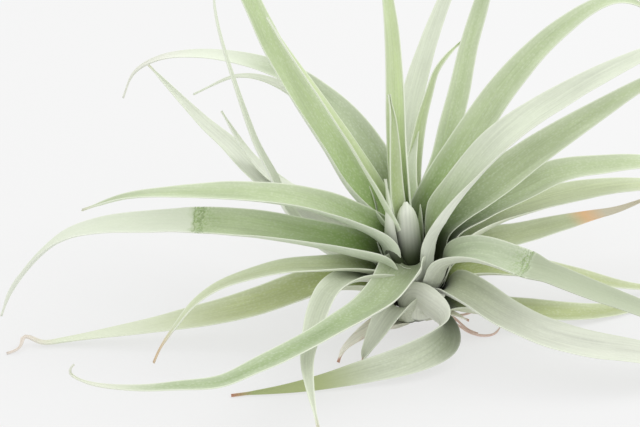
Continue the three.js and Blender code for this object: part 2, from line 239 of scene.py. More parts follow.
def framed(path: np.ndarray, side: np.ndarray, stations: int, roll: tuple[float, ...]) -> Spine:
    """Carries a side vector along a path without twist, then rolls it.

    Args:
        path: Evenly stepped points.
        side: The side vector at the start.
        stations: How many stations the spine keeps, closer together at the base.
        roll: Twist about the path at even steps from start to end, in degrees.

    Returns:
        The spine.
    """
    tangents = np.gradient(path, axis=0)
    tangents /= np.linalg.norm(tangents, axis=1)[:, None]
    sides = np.empty_like(path)
    for row, tangent in enumerate(tangents):
        side = side - tangent * (side @ tangent)
        side = side / np.linalg.norm(side)
        sides[row] = side
    normals = np.cross(tangents, sides)
    turn = np.radians(values_along(roll, np.linspace(0, 1, len(path))))
    turn = blur(turn, len(path) * TWIST_SOFTNESS)[:, None]
    turned = sides * np.cos(turn) + normals * np.sin(turn)
    chosen = np.linspace(0, 1, stations) ** STATION_CROWDING * (len(path) - 1)
    centre, tangent, across = (
        np.stack([np.interp(chosen, np.arange(len(path)), column) for column in rows.T], 1)
        for rows in (path, tangents, turned))
    tangent /= np.linalg.norm(tangent, axis=1)[:, None]
    across -= tangent * (across * tangent).sum(1)[:, None]
    across /= np.linalg.norm(across, axis=1)[:, None]
    length = np.linalg.norm(np.diff(path, axis=0), axis=1).sum()
    along = chosen / (len(path) - 1) * length
    return Spine(centre, along, across, np.cross(tangent, across))


def soft_noise(rng: np.random.Generator, along: np.ndarray, pitch: float) -> np.ndarray:
    """Gives a smooth wandering value along a length.

    Args:
        rng: The seeded source of its knots.
        along: Places in millimetres.
        pitch: Distance between knots in millimetres.

    Returns:
        One value for each place, about -1 to 1.
    """
    knots = rng.uniform(-1, 1, int(along[-1] / pitch) + 3)
    place = along / pitch
    first = place.astype(int)
    return knots[first] + (knots[first + 1] - knots[first]) * ease(place - first)


# ---- Meshes --------------------------------------------------------------------------------------


def closed_tube(
    name: str, rings: np.ndarray, foot: Vector, marks: dict[str, np.ndarray] | None = None
) -> bpy.types.Object:
    """Builds one closed body from rings of points, capped at both ends.

    Args:
        name: The piece's name.
        rings: Points in millimetres, as rows by ring points by 3. The second half of a ring lies
            over its first.
        foot: The point of the table under the stem, in metres, that the points are measured from.
        marks: Values for the material by name, as rows by faces of a ring by 2 by 3. The third axis is
            the lower and the higher ring point of the face.

    Returns:
        The new object, smooth shaded.
    """
    rows, count = rings.shape[:2]
    at = np.arange(rows * count).reshape(rows, count)
    after = np.roll(at, -1, axis=1)
    quads = np.stack([at[:-1], after[:-1], after[1:], at[1:]], -1).reshape(-1, 4)
    half = count // 2
    low = np.arange(half)
    cap = np.stack([low, low + 1, (count - low - 1) % count, (count - low) % count], 1)
    faces = [list(map(int, quad)) for quad in quads]
    last_ring = (rows - 1) * count
    for quad in cap:
        end = list(dict.fromkeys(int(corner) for corner in quad))
        if len(end) > 2:
            faces.append(end[::-1])
            faces.append([corner + last_ring for corner in end])
    mesh = bpy.data.meshes.new(name)
    points = rings.reshape(-1, 3) * MM + np.array(foot)
    mesh.from_pydata(points.tolist(), [], faces)
    mesh.polygons.foreach_set("use_smooth", np.ones(len(mesh.polygons), bool))
    for mark, values in (marks or {}).items():
        write_mark(mesh, mark, values, len(quads))
    mesh.update()
    made = bpy.data.objects.new(name, mesh)
    bpy.context.scene.collection.objects.link(made)
    return made


def write_mark(mesh: bpy.types.Mesh, name: str, values: np.ndarray, quads: int) -> None:
    """Stores a vector for each corner of a tube's faces.

    Args:
        mesh: The tube's mesh.
        name: The attribute's name.
        values: Rows by ring faces by 2 by 3, as in closed_tube.
        quads: How many of its faces are quads between rings. The rest are caps.
    """
    low, high = values[:, :, 0], values[:, :, 1]
    corners = np.stack([low[:-1], high[:-1], high[1:], low[1:]], 2).reshape(-1, 3)
    loops = np.zeros((len(mesh.loops), 3), np.float32)
    loops[: quads * 4] = corners
    starts = np.empty(len(mesh.loops), np.int32)
    mesh.loops.foreach_get("vertex_index", starts)
    known = np.zeros((len(mesh.vertices), 3), np.float32)
    known[starts[: quads * 4]] = corners
    loops[quads * 4 :] = known[starts[quads * 4 :]]
    made = mesh.attributes.new(name, "FLOAT_VECTOR", "CORNER")
    made.data.foreach_set("vector", loops.ravel())


def dress(piece: bpy.types.Object, node: str, material: bpy.types.Material) -> None:
    """Gives a piece its material and the body it rides on, and hides the CAD node that it replaces.

    Args:
        piece: The piece.
        node: The CAD node that it replaces.
        material: Its material.
    """
    piece.data.materials.append(material)
    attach(piece, "root")
    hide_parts(node)
    LOG.info("%s: %d faces, %s", piece.name, len(piece.data.polygons), material.name)


# ---- Finishes ------------------------------------------------------------------------------------


class Tone(Enum):
    """Colour of a leaf: green inside of the channel, scaled outside, and the throat, which is greener and
    darker, partly as painted shade.
    """

    SAGE = (0xABB897, 0xCFD4C2, 0x82965F)
    FRESH = (0xB4C39A, 0xD2DBC6, 0x7E9C4E)
    BRIGHT = (0xB4C58E, 0xD3DEC0, 0x88AA54)
    OLIVE = (0xBFC9A2, 0xCFD4BE, 0x72853E)
    GREY = (0xC0C8B0, 0xD6D9CB, 0x7D8C60)
    SILVER = (0xD5D9CA, 0xDBDDD0, 0xB2BA9E)
    DEEP = (0xB0BE96, 0xCBD2BC, 0x4E682C)
    PALE = (0xD0D7C3, 0xE0E4D8, 0x8CA366)
    YOUNG = (0xCDD8BE, 0xE6EADC, 0xA6B78E)
    FROST = (0xDDE2D3, 0xE9ECE2, 0xD2DAC6)
    STREAKED = (0xB9C4A8, 0xCFD4C2, 0xB2BFA0)
    MOSS = (0xB2BC8A, 0xC5CBAE, 0x98A566)
    # SEDGE's inside is the leaf's green darkened as painted shade
    SEDGE = (0x96A97C, 0xCFD4C2, 0xA8B590)
    ASHEN = (0xCCD1C0, 0xBEC3AF, 0x8C9A70)
    LEAFY = (0xAABB8C, 0xCDD7BF, 0x7F9C50)
    LIVELY = (0xC8D8A6, 0xE0E7D2, 0x98B766)

    @property
    def inside(self) -> int:
        """Colour of the channel."""
        return self.value[0]

    @property
    def outside(self) -> int:
        """Colour of the back of the leaf."""
        return self.value[1]

    @property
    def throat(self) -> int:
        """Colour of the channel next to the stem: greener, and darkened partly by painted shade."""
        return self.value[2]


@dataclass(frozen=True)
class Drying:
    """How the end of a leaf has dried: from which share of its length, and to what colours."""

    start: float = 0.95
    spread: float = 0.06
    colour: int = 0xD2D3BE
    end: int = 0xC6BFA6
    last: float = 0.0  # share from which the end colour shows, 0 for straight after the first
    last_spread: float = 0.08
    ragged: float = 0.05  # how far the patches push its border about, as a share of the length


@dataclass(frozen=True)
class Scar:
    """An old wound beyond which a leaf is narrower. Its lengths are shares of the leaf's length."""

    at: float
    narrowed: float
    beyond: int  # colour of the silvery part past the wound
    bared: int = 0x86A35E  # green skin that shows where the scales are lost
    crease: int = 0x6F8350
    wander: float = 0.03
    bared_length: float = 0.075
    crease_gap: float = 0.006  # half the distance between its two creases
    crease_reach: float = 0.0022  # half the width of a crease


@dataclass(frozen=True)
class LeafFinish:
    """Living leaf of an air plant, grown with a coat of water-drinking silver scales.

    The scales make it matt and pale, greyer where they stand closest, on the back of the leaf.
    Between them the skin is green, in fine lines along the leaf. The last number of each pattern's
    stretch sets the inside of the channel apart from the back.
    """

    title: str
    tone: Tone
    drying: Drying
    scar: Scar | None = None
    # how far up the inside and the back the painted shade on the sheath goes, in millimetres
    dark: tuple[float, float] = (18, 6)
    scale_pitch: float = 0.75  # real scales are 0.2 mm across, drawn coarser so that they show
    line_pitch: float = 0.55  # veins lie 0.3 to 0.6 mm apart
    line_length: float = 28.0  # over which a line fades or shifts
    patch_pitch: float = 7.0  # paler and greener patches
    silver: int = 0xE6EADF
    margin: int = 0xDFE5D3
    # colour of the painted shade on the sheath, deep in the rosette
    sheath: int = 0x2E381C
    sheen: int = 0xF4F6EE
    roughness: float = 0.62
    relief: float = 0.1  # height of the scales and lines, in millimetres

    def material(self) -> bpy.types.Material:
        """Builds the node material.

        Returns:
            The material, which reads the marks `place` and `zone` of a leaf's mesh.
        """
        made = new_material(self.title)
        tree = made.node_tree
        place = add_node(tree, "ShaderNodeAttribute", attribute_name="place").outputs["Vector"]
        zone = add_node(tree, "ShaderNodeAttribute", attribute_name="zone").outputs["Vector"]
        inside = add_node(tree, "ShaderNodeSeparateXYZ", {0: place}).outputs["Z"]
        part = add_node(tree, "ShaderNodeSeparateXYZ", {0: zone})
        edge, share, from_base = part.outputs["X"], part.outputs["Y"], part.outputs["Z"]
        lines = self._lines(tree, place)
        patches = self._patches(tree, place)
        scales = self._scales(tree, place)
        colour = self._skin(tree, inside, share, patches, lines)
        colour = self._coat(tree, colour, scales, inside, patches)
        colour = self._ends(tree, colour, edge, share, patches)
        colour = self._shaded_base(tree, colour, inside, from_base)
        height = add_node(tree, "ShaderNodeMath", {0: scales, 1: 0.5, 2: lines},
                          operation="MULTIPLY_ADD").outputs[0]
        if self.scar is not None:
            colour, height = self._scarred(tree, self.scar, colour, height, place, share)
        bump = add_node(tree, "ShaderNodeBump",
                        {"Strength": 0.3, "Distance": self.relief * MM, "Height": height})
        dull = add_node(tree, "ShaderNodeMapRange", {
            "Value": scales, "To Min": self.roughness - 0.06, "To Max": self.roughness + 0.1})
        shader = add_node(tree, "ShaderNodeBsdfPrincipled", {
            "Base Color": colour, "Roughness": dull.outputs[0], "Normal": bump.outputs[0],
            "IOR": 1.42, "Specular IOR Level": 0.4, "Sheen Weight": 0.22, "Sheen Roughness": 0.45,
            "Sheen Tint": linear(self.sheen)})
        add_node(tree, "ShaderNodeOutputMaterial", {"Surface": shader.outputs[0]})
        return made

    def _lines(self, tree: Tree, place: Socket) -> Socket:
        """Draws fine lines along the leaf, over its veins.

        Args:
            tree: The material's nodes.
            place: The mark `place`.

        Returns:
            The strength of the lines.
        """
        stretched = add_node(tree, "ShaderNodeVectorMath", {
            0: place, 1: (1 / self.line_pitch, 1 / self.line_length, 4.0)}, operation="MULTIPLY")
        return add_node(tree, "ShaderNodeTexNoise", {
            "Vector": stretched.outputs[0], "Scale": 1.0, "Detail": 2.0,
            "Roughness": 0.55}).outputs["Fac"]

    def _patches(self, tree: Tree, place: Socket) -> Socket:
        """Draws soft patches where the coat of scales is thinner or denser.

        Args:
            tree: The material's nodes.
            place: The mark `place`.

        Returns:
            How dense the coat is.
        """
        stretched = add_node(tree, "ShaderNodeVectorMath", {
            0: place, 1: (1 / self.patch_pitch, 0.35 / self.patch_pitch, 9.0)},
            operation="MULTIPLY")
        return add_node(tree, "ShaderNodeTexNoise", {
            "Vector": stretched.outputs[0], "Scale": 1.0, "Detail": 3.0,
            "Roughness": 0.5}).outputs["Fac"]

    def _scales(self, tree: Tree, place: Socket) -> Socket:
        """Draws round silver scales in loose rows.

        Args:
            tree: The material's nodes.
            place: The mark `place`.

        Returns:
            1 at the middle of each scale and 0 between them.
        """
        stretched = add_node(tree, "ShaderNodeVectorMath", {
            0: place, 1: (1 / self.scale_pitch, 0.72 / self.scale_pitch, 5.0)},
            operation="MULTIPLY")
        cells = add_node(tree, "ShaderNodeTexVoronoi", {
            "Vector": stretched.outputs[0], "Scale": 1.0, "Randomness": 0.9})
        return add_node(tree, "ShaderNodeMapRange", {
            "Value": cells.outputs["Distance"], "From Min": 0.12, "From Max": 0.62,
            "To Min": 1.0, "To Max": 0.0}, interpolation_type="SMOOTHSTEP").outputs[0]

    def _skin(self, tree: Tree, inside: Socket, share: Socket, patches: Socket,
              lines: Socket) -> Socket:
        """Colours the skin: deeper in the throat, partly as painted shade, and along the lines, greyer on
        the back.

        Args:
            tree: The material's nodes.
            inside: 1 on the inside of the channel, 0 on the back.
            share: Share of the leaf's length.
            patches: How dense the coat of scales is.
            lines: The strength of the lines.

        Returns:
            The colour of the skin.
        """
        # partly painted shade: the channel turns to the throat colour towards the stem
        deep = add_node(tree, "ShaderNodeMapRange", {
            "Value": share, "From Min": 0.08, "From Max": 0.42, "To Min": 1.0, "To Max": 0.0},
            interpolation_type="SMOOTHSTEP")
        channel = add_node(tree, "ShaderNodeMix", {
            0: deep.outputs[0], 6: linear(self.tone.inside), 7: linear(self.tone.throat)},
            data_type="RGBA")
        faces = add_node(tree, "ShaderNodeMix", {
            0: inside, 6: linear(self.tone.outside), 7: channel.outputs[2]}, data_type="RGBA")
        uneven = add_node(tree, "ShaderNodeMath", {0: lines, 1: patches}, operation="ADD")
        light = add_node(tree, "ShaderNodeMapRange", {
            "Value": uneven.outputs[0], "From Min": 0.7, "From Max": 1.3,
            "To Min": 0.84, "To Max": 1.08})
        return add_node(tree, "ShaderNodeVectorMath", {
            0: faces.outputs[2], 1: light.outputs[0]}, operation="MULTIPLY").outputs[0]

    def _coat(self, tree: Tree, colour: Socket, scales: Socket, inside: Socket,
              patches: Socket) -> Socket:
        """Lays the silver scales over the skin, denser on the back and in pale patches.

        Args:
            tree: The material's nodes.
            colour: The colour of the skin.
            scales: 1 at the middle of each scale.
            inside: 1 on the inside of the channel, 0 on the back.
            patches: How dense the coat is.

        Returns:
            The colour with its scales.
        """
        coat = add_node(tree, "ShaderNodeMapRange", {
            "Value": inside, "To Min": 0.28, "To Max": 0.15})
        dense = add_node(tree, "ShaderNodeMapRange", {
            "Value": patches, "From Min": 0.35, "From Max": 0.65, "To Min": 0.6, "To Max": 1.25})
        much = add_node(tree, "ShaderNodeMath", {0: coat.outputs[0], 1: dense.outputs[0]},
                        operation="MULTIPLY")
        amount = add_node(tree, "ShaderNodeMath", {0: much.outputs[0], 1: scales},
                          operation="MULTIPLY")
        return add_node(tree, "ShaderNodeMix", {
            0: amount.outputs[0], 6: colour, 7: linear(self.silver)}, data_type="RGBA").outputs[2]

    def _ends(self, tree: Tree, colour: Socket, edge: Socket, share: Socket,
              patches: Socket) -> Socket:
        """Adds the clear pale margin and the dried tip.

        Args:
            tree: The material's nodes.
            colour: The colour so far.
            edge: Distance from the margin in millimetres.
            share: Share of the leaf's length.
            patches: Makes the border of the dried tip ragged.

        Returns:
            The colour with its margin and tip.
        """
        broad = add_node(tree, "ShaderNodeMapRange", {
            "Value": edge, "From Min": 3.0, "From Max": 0.3, "To Min": 0.0, "To Max": 0.3})
        edged = add_node(tree, "ShaderNodeMix", {
            0: broad.outputs[0], 6: colour, 7: linear(self.margin)}, data_type="RGBA")
        rim = add_node(tree, "ShaderNodeMapRange", {
            "Value": edge, "From Min": 0.5, "From Max": 0.1, "To Min": 0.0, "To Max": 0.7},
            interpolation_type="SMOOTHSTEP")
        rimmed = add_node(tree, "ShaderNodeMix", {
            0: rim.outputs[0], 6: edged.outputs[2], 7: linear(self.margin)}, data_type="RGBA")
        drying = self.drying
        ragged = add_node(tree, "ShaderNodeMath", {0: patches, 1: drying.ragged, 2: share},
                          operation="MULTIPLY_ADD")
        start = drying.start + drying.ragged / 2
        dried = add_node(tree, "ShaderNodeMapRange", {
            "Value": ragged.outputs[0], "From Min": start, "From Max": start + drying.spread},
            interpolation_type="SMOOTHSTEP")
        last = drying.last or start + drying.spread
        late = add_node(tree, "ShaderNodeMapRange", {
            "Value": share, "From Min": last, "From Max": last + drying.last_spread})
        straw = add_node(tree, "ShaderNodeMix", {
            0: late.outputs[0], 6: linear(drying.colour), 7: linear(drying.end)},
            data_type="RGBA")
        return add_node(tree, "ShaderNodeMix", {
            0: dried.outputs[0], 6: rimmed.outputs[2], 7: straw.outputs[2]},
            data_type="RGBA").outputs[2]

    def _shaded_base(self, tree: Tree, colour: Socket, inside: Socket,
                     from_base: Socket) -> Socket:
        """Darkens the sheath with painted shade, deep in the rosette where little light reaches, and
        further up on its inside.

        Args:
            tree: The material's nodes.
            colour: The colour so far.
            inside: 1 on the inside of the channel, 0 on the back.
            from_base: Distance from the base in millimetres.

        Returns:
            The colour with the painted shade at its base.
        """
        outer, inner = self.dark[1], self.dark[0]
        reach = add_node(tree, "ShaderNodeMapRange", {
            "Value": inside, "To Min": outer, "To Max": inner})
        way = add_node(tree, "ShaderNodeMath", {0: from_base, 1: reach.outputs[0]},
                       operation="DIVIDE")
        # painted shade: towards the stem the colour turns to the dark sheath colour
        dark = add_node(tree, "ShaderNodeMapRange", {
            "Value": way.outputs[0], "From Min": 0.35, "From Max": 1.0,
            "To Min": 1.0, "To Max": 0.0}, interpolation_type="SMOOTHSTEP")
        return add_node(tree, "ShaderNodeMix", {
            0: dark.outputs[0], 6: colour, 7: linear(self.sheath)}, data_type="RGBA").outputs[2]

    def _scarred(self, tree: Tree, scar: Scar, colour: Socket, height: Socket, place: Socket,
                 share: Socket) -> tuple[Socket, Socket]:
        """Draws a healed scar across the leaf: bared skin before it, and two dark creases.

        Args:
            tree: The material's nodes.
            scar: The scar.
            colour: The colour so far.
            height: The relief so far.
            place: The mark `place`.
            share: Share of the leaf's length.

        Returns:
            The colour and the relief with the scar in them.
        """
        wide = add_node(tree, "ShaderNodeVectorMath", {0: place, 1: (0.35, 0.5, 1.0)},
                        operation="MULTIPLY")
        wander = add_node(tree, "ShaderNodeTexNoise", {
            "Vector": wide.outputs[0], "Scale": 1.0, "Detail": 3.0})
        bent = add_node(tree, "ShaderNodeMath", {
            0: wander.outputs["Fac"], 1: scar.wander, 2: share}, operation="MULTIPLY_ADD")
        off = add_node(tree, "ShaderNodeMath", {0: bent.outputs[0], 1: scar.at + scar.wander / 2},
                       operation="SUBTRACT").outputs[0]
        bared = add_node(tree, "ShaderNodeMapRange", {
            "Value": off, "From Min": -scar.bared_length, "From Max": -0.002,
            "To Min": 0.0, "To Max": 0.85})
        before = add_node(tree, "ShaderNodeMath", {0: off, 1: 0.0}, operation="LESS_THAN")
        grain = add_node(tree, "ShaderNodeTexNoise", {
            "Vector": place, "Scale": 1.7, "Detail": 3.0})
        specks = add_node(tree, "ShaderNodeMapRange", {
            "Value": grain.outputs["Fac"], "From Min": 0.47, "From Max": 0.58})
        worn = add_node(tree, "ShaderNodeMath", {0: bared.outputs[0], 1: before.outputs[0]},
                        operation="MULTIPLY")
        sharp = add_node(tree, "ShaderNodeMath", {0: worn.outputs[0], 1: 2.0}, operation="POWER")
        green = add_node(tree, "ShaderNodeMath", {0: sharp.outputs[0], 1: specks.outputs[0]},
                         operation="MULTIPLY")
        skin = add_node(tree, "ShaderNodeMix", {
            0: green.outputs[0], 6: colour, 7: linear(scar.bared)}, data_type="RGBA")
        between = add_node(tree, "ShaderNodeMath", {0: off, 1: scar.crease_gap}, operation="ADD")
        beside = add_node(tree, "ShaderNodeMath", {0: between.outputs[0]}, operation="ABSOLUTE")
        near = add_node(tree, "ShaderNodeMath", {
            0: beside.outputs[0], 1: scar.crease_gap, 2: scar.crease_reach}, operation="COMPARE")
        crease = add_node(tree, "ShaderNodeMath", {0: near.outputs[0], 1: 0.4},
                          operation="MULTIPLY")
        lined = add_node(tree, "ShaderNodeMix", {
            0: crease.outputs[0], 6: skin.outputs[2], 7: linear(scar.crease)}, data_type="RGBA")
        ridge = add_node(tree, "ShaderNodeMath", {0: crease.outputs[0], 1: -3.0, 2: height},
                         operation="MULTIPLY_ADD")
        past = add_node(tree, "ShaderNodeMapRange", {
            "Value": off, "From Min": 0.0, "From Max": 0.012, "To Min": 0.0, "To Max": 0.65})
        silvery = add_node(tree, "ShaderNodeMix", {
            0: past.outputs[0], 6: lined.outputs[2], 7: linear(scar.beyond)}, data_type="RGBA")
        return silvery.outputs[2], ridge.outputs[0]


@dataclass(frozen=True)
class PaperyLeafFinish:
    """Dead leaf base, dried on the plant to thin ribbed paper, bleached with a pink flush."""

    title: str = "dried_leaf_paper"
    bleached: int = 0xEEEBE0
    flushed: int = 0xEBDDD2
    burnt: int = 0xC49A86
    clasping: int = 0xA2A78C
    rib_pitch: float = 0.6  # real ribs are about 0.3 mm apart, drawn coarser so that they show
    relief: float = 0.2  # height of the ribs, in millimetres

    def material(self) -> bpy.types.Material:
        """Builds the node material.

        Returns:
            The material, which reads the marks `place` and `zone`.
        """
        made = new_material(self.title)
        tree = made.node_tree
        place = add_node(tree, "ShaderNodeAttribute", attribute_name="place").outputs["Vector"]
        zone = add_node(tree, "ShaderNodeAttribute", attribute_name="zone").outputs["Vector"]
        share = add_node(tree, "ShaderNodeSeparateXYZ", {0: zone}).outputs["Y"]
        stretched = add_node(tree, "ShaderNodeVectorMath",
                             {0: place, 1: (1 / self.rib_pitch, 0.12, 3.0)}, operation="MULTIPLY")
        ribs = add_node(tree, "ShaderNodeTexNoise", {
            "Vector": stretched.outputs[0], "Scale": 1.0, "Detail": 3.0}).outputs["Fac"]
        blotch = add_node(tree, "ShaderNodeTexNoise", {"Vector": place, "Scale": 0.28, "Detail": 3.0})
        flush = add_node(tree, "ShaderNodeMapRange", {
            "Value": blotch.outputs["Fac"], "From Min": 0.5, "From Max": 0.7})
        paper = add_node(tree, "ShaderNodeMix", {
            0: flush.outputs[0], 6: linear(self.bleached), 7: linear(self.flushed)}, data_type="RGBA")
        ragged = add_node(tree, "ShaderNodeMath", {0: blotch.outputs["Fac"], 1: 0.3, 2: share},
                          operation="MULTIPLY_ADD")
        brown = add_node(tree, "ShaderNodeMapRange", {
            "Value": ragged.outputs[0], "From Min": 1.05, "From Max": 1.12})
        ended = add_node(tree, "ShaderNodeMix", {
            0: brown.outputs[0], 6: paper.outputs[2], 7: linear(self.burnt)}, data_type="RGBA")
        low = add_node(tree, "ShaderNodeMapRange", {
            "Value": share, "From Min": 0.15, "From Max": 0.4, "To Min": 0.6, "To Max": 0.0})
        clasping = add_node(tree, "ShaderNodeMix", {
            0: low.outputs[0], 6: ended.outputs[2], 7: linear(self.clasping)}, data_type="RGBA")
        light = add_node(tree, "ShaderNodeMapRange", {
            "Value": ribs, "From Min": 0.3, "From Max": 0.7, "To Min": 0.84, "To Max": 1.08})
        colour = add_node(tree, "ShaderNodeVectorMath", {0: clasping.outputs[2], 1: light.outputs[0]},
                          operation="MULTIPLY")
        bump = add_node(tree, "ShaderNodeBump",
                        {"Strength": 0.6, "Distance": self.relief * MM, "Height": ribs})
        shader = add_node(tree, "ShaderNodeBsdfPrincipled", {
            "Base Color": colour.outputs[0], "Roughness": 0.8, "Normal": bump.outputs[0], "IOR": 1.45,
            "Specular IOR Level": 0.3})
        add_node(tree, "ShaderNodeOutputMaterial", {"Surface": shader.outputs[0]})
        return made


@dataclass(frozen=True)
class FibreFinish:
    """Woody stem or root, grown, with a dry fibrous bark that flakes along its length.

    The fibres leave it dull, and streaked light and dark the long way.
    """

    title: str
    dark: int
    light: int
    fibre_pitch: float  # fibres are 0.1 to 0.2 mm thick, drawn coarser so that they show
    roughness: float = 0.85
    relief: float = 0.25  # height of the fibres, in millimetres

    def material(self) -> bpy.types.Material:
        """Builds the node material.

        Returns:
            The material, which reads the mark `place`.
        """
        made = new_material(self.title)
        tree = made.node_tree
        place = add_node(tree, "ShaderNodeAttribute", attribute_name="place").outputs["Vector"]
        stretched = add_node(tree, "ShaderNodeVectorMath",
                             {0: place, 1: (1 / self.fibre_pitch, 0.3, 1.0)}, operation="MULTIPLY")
        fibres = add_node(tree, "ShaderNodeTexNoise", {
            "Vector": stretched.outputs[0], "Scale": 1.0, "Detail": 4.0, "Roughness": 0.6}).outputs["Fac"]
        worn = add_node(tree, "ShaderNodeMapRange", {
            "Value": fibres, "From Min": 0.32, "From Max": 0.68})
        colour = add_node(tree, "ShaderNodeMix", {
            0: worn.outputs[0], 6: linear(self.dark), 7: linear(self.light)}, data_type="RGBA")
        bump = add_node(tree, "ShaderNodeBump",
                        {"Strength": 0.7, "Distance": self.relief * MM, "Height": fibres})
        shader = add_node(tree, "ShaderNodeBsdfPrincipled", {
            "Base Color": colour.outputs[2], "Roughness": self.roughness, "Normal": bump.outputs[0],
            "IOR": 1.5, "Specular IOR Level": 0.3})
        add_node(tree, "ShaderNodeOutputMaterial", {"Surface": shader.outputs[0]})
        return made


# ---- Leaves --------------------------------------------------------------------------------------


@dataclass(frozen=True)
class Leaf:
    """One leaf: its place on the stem, the shape of its blade, and its looks.

    Attributes:
        name: What it is called.
        around: Heading about the stem in degrees: 0 is +X and 90 is +Y.
        width: Greatest width of the blade in millimetres, measured straight across.
        through: Points of the midrib beyond the sheath.
        roll: Twist about the midrib at even steps from base to tip, in degrees.
        taper: How late the blade narrows. A higher number keeps it broad for longer.
        scar: Its old wound, if it has one.
        tone: Its colours.
        drying: How its end has dried.
        channel: Half the angle of the channel at even steps from base to tip, in degrees.
        reach: Half the angle that the sheath wraps about the stem, in degrees.
        sheath: The sheath's share of the length.
        dark: How far up its inside and its outside the painted shade on the sheath goes, in millimetres.
    """

    name: str
    around: float
    width: float
    through: Points
    roll: tuple[float, ...] = (0.0, 0.0)
    taper: float = 1.7
    scar: Scar | None = None
    tone: Tone = Tone.SAGE
    drying: Drying = Drying()
    channel: tuple[float, ...] = (80, 64, 48, 36, 30, 28, 28)
    reach: float = 55
    sheath: float = 0.12
    dark: tuple[float, float] = (18, 6)


@dataclass
class Rosette:
    """The living leaves, oldest first, and how each is shaped."""

    foot: Vector
    leaves: tuple[Leaf, ...]
    stem_foot_radius: float = 4.2
    stem_top_radius: float = 1.8
    stem_shoulder: float = 9.0
    stem_top: float = 24.0
    first_seat: float = 7.2
    seat_step: float = 0.36
    stand_off: float = 0.7  # from the stem's skin to the middle of a leaf's base
    sheath_way: float = 0.45  # where the sheath's point lies, from the base to the first point
    sheath_bulge: float = 0.6
    midrib_softness: float = 1.6
    taper_power: float = 1.1
    scar_spread: float = 0.05  # share of the length over which a leaf narrows at its scar
    width_wave: float = 0.018  # share of the width
    width_wave_pitch: float = 9.0
    tip_width: float = 0.7
    thread_fold: float = math.radians(80)
    thread_start: float = 0.72
    thread_length: float = 0.28
    thread_power: float = 1.5
    fold_softness: float = 1.5
    midrib_thickness: float = 0.95
    thickness_at: tuple[float, ...] = (0, 0.1, 0.6, 1)  # shares of the length
    thickness_there: tuple[float, ...] = (0.8, 1.0, 0.75, 0.45)  # shares of the midrib's thickness
    margin_thickness: float = 0.16
    thickest: float = 0.9  # most that a narrow blade's thickness is of its half width
    thinnest: float = 0.5  # most that a margin's thickness is of the midrib's
    section_power: float = 0.6
    margin_wave: float = 0.16
    blade_wave: float = 0.08
    wave_pitches: tuple[float, float, float] = (7.0, 8.0, 13.0)  # left and right margin, blade
    wave_start: float = 0.15  # share of the length over which the waves set in
    wave_full_at: float = 6.0  # half width from which the waves have their full height
    columns: int = 16
    station_pitch: float = 1.1
    spare_stations: int = 12
    table_gap: float = 0.1
    pattern_shift: float = 37.0  # along, from one leaf's pattern to the next
    face_shift: float = 60.0  # across, from the pattern on the back to that on the inside
    first_seed: int = 100

    def build(self) -> None:
        """Builds and dresses every leaf."""
        for index, leaf in enumerate(self.leaves):
            seat = self.first_seat + self.seat_step * index
            piece = self.blade(leaf, seat, index)
            title = f"scaled_leaf_{leaf.name}"
            finish = LeafFinish(title, leaf.tone, leaf.drying, leaf.scar, leaf.dark)
            dress(piece, f"leaf_{leaf.name}", finish.material())

    def blade(self, leaf: Leaf, seat: float, index: int) -> bpy.types.Object:
        """Builds one leaf as a closed blade with a rounded section.

        Args:
            leaf: The leaf.
            seat: Height of its base on the stem.
            index: Its place in the spiral, which also seeds its unevenness.

        Returns:
            The leaf's object.
        """
        rng = np.random.default_rng(self.first_seed + index)
        spine = self._spine(leaf, seat)
        half = self._half_width(leaf, spine, rng)
        fold = self._fold(leaf, spine, half)
        column = np.sin(np.linspace(-math.pi / 2, math.pi / 2, self.columns + 1))
        radius = half / np.sin(np.minimum(fold, math.pi / 2))
        middle = radius * (1 - np.cos(np.minimum(fold, math.pi / 2))) / 2
        lift = self._lift(spine, half, column)
        wave = self._undulation(rng, spine, column) * np.minimum(half / self.wave_full_at, 1)[:, None]

        def surface(upwards: float) -> np.ndarray:
            """Gives the points of one face.

            Args:
                upwards: 1 for the inside of the channel, -1 for the back.

            Returns:
                The points as stations by columns by 3.
            """
            angle = column[None, :] * fold[:, None]
            near = radius[:, None] - upwards * lift - wave
            across = near * np.sin(angle)
            up = radius[:, None] - near * np.cos(angle) - middle[:, None]
            return (spine.centre[:, None] + spine.side[:, None] * across[..., None]
                    + spine.normal[:, None] * up[..., None])

        back, inside = surface(-1.0), surface(1.0)
        rings = np.concatenate([back, inside[:, -2:0:-1]], 1)
        low = rings[..., 2].min(1)
        rings[..., 2] += np.maximum(0, self.table_gap - low)[:, None]
        marks = self._marks(spine, radius[:, None] * fold[:, None] * column[None, :], index)
        return closed_tube(f"{leaf.name}_leaf", rings, self.foot, marks)

    def _stem_radius(self, height: float) -> float:
        """Gives the radius of the stem at a height."""
        rise = np.clip((height - self.stem_shoulder) / (self.stem_top - self.stem_shoulder), 0, 1)
        return float(self.stem_foot_radius + (self.stem_top_radius - self.stem_foot_radius) * rise)

    def _spine(self, leaf: Leaf, seat: float) -> Spine:
        """Lays out a leaf's midrib from the stem to the tip.

        Args:
            leaf: The leaf.
            seat: Height of its base on the stem.

        Returns:
            The midrib with its frames.
        """
        angle = math.radians(leaf.around)
        outward = np.array([math.cos(angle), math.sin(angle), 0.0])
        base = outward * (self._stem_radius(seat) + self.stand_off)
        base[2] = seat
        through = np.array(leaf.through, float)
        sheath = base + (through[0] - base) * self.sheath_way + outward * self.sheath_bulge
        path = rounded_path(np.vstack([base, sheath, through]), self.midrib_softness)
        side = np.array([-math.sin(angle), math.cos(angle), 0.0])
        stations = int(len(path) * PATH_STEP / self.station_pitch) + self.spare_stations
        return framed(path, side, stations, leaf.roll)

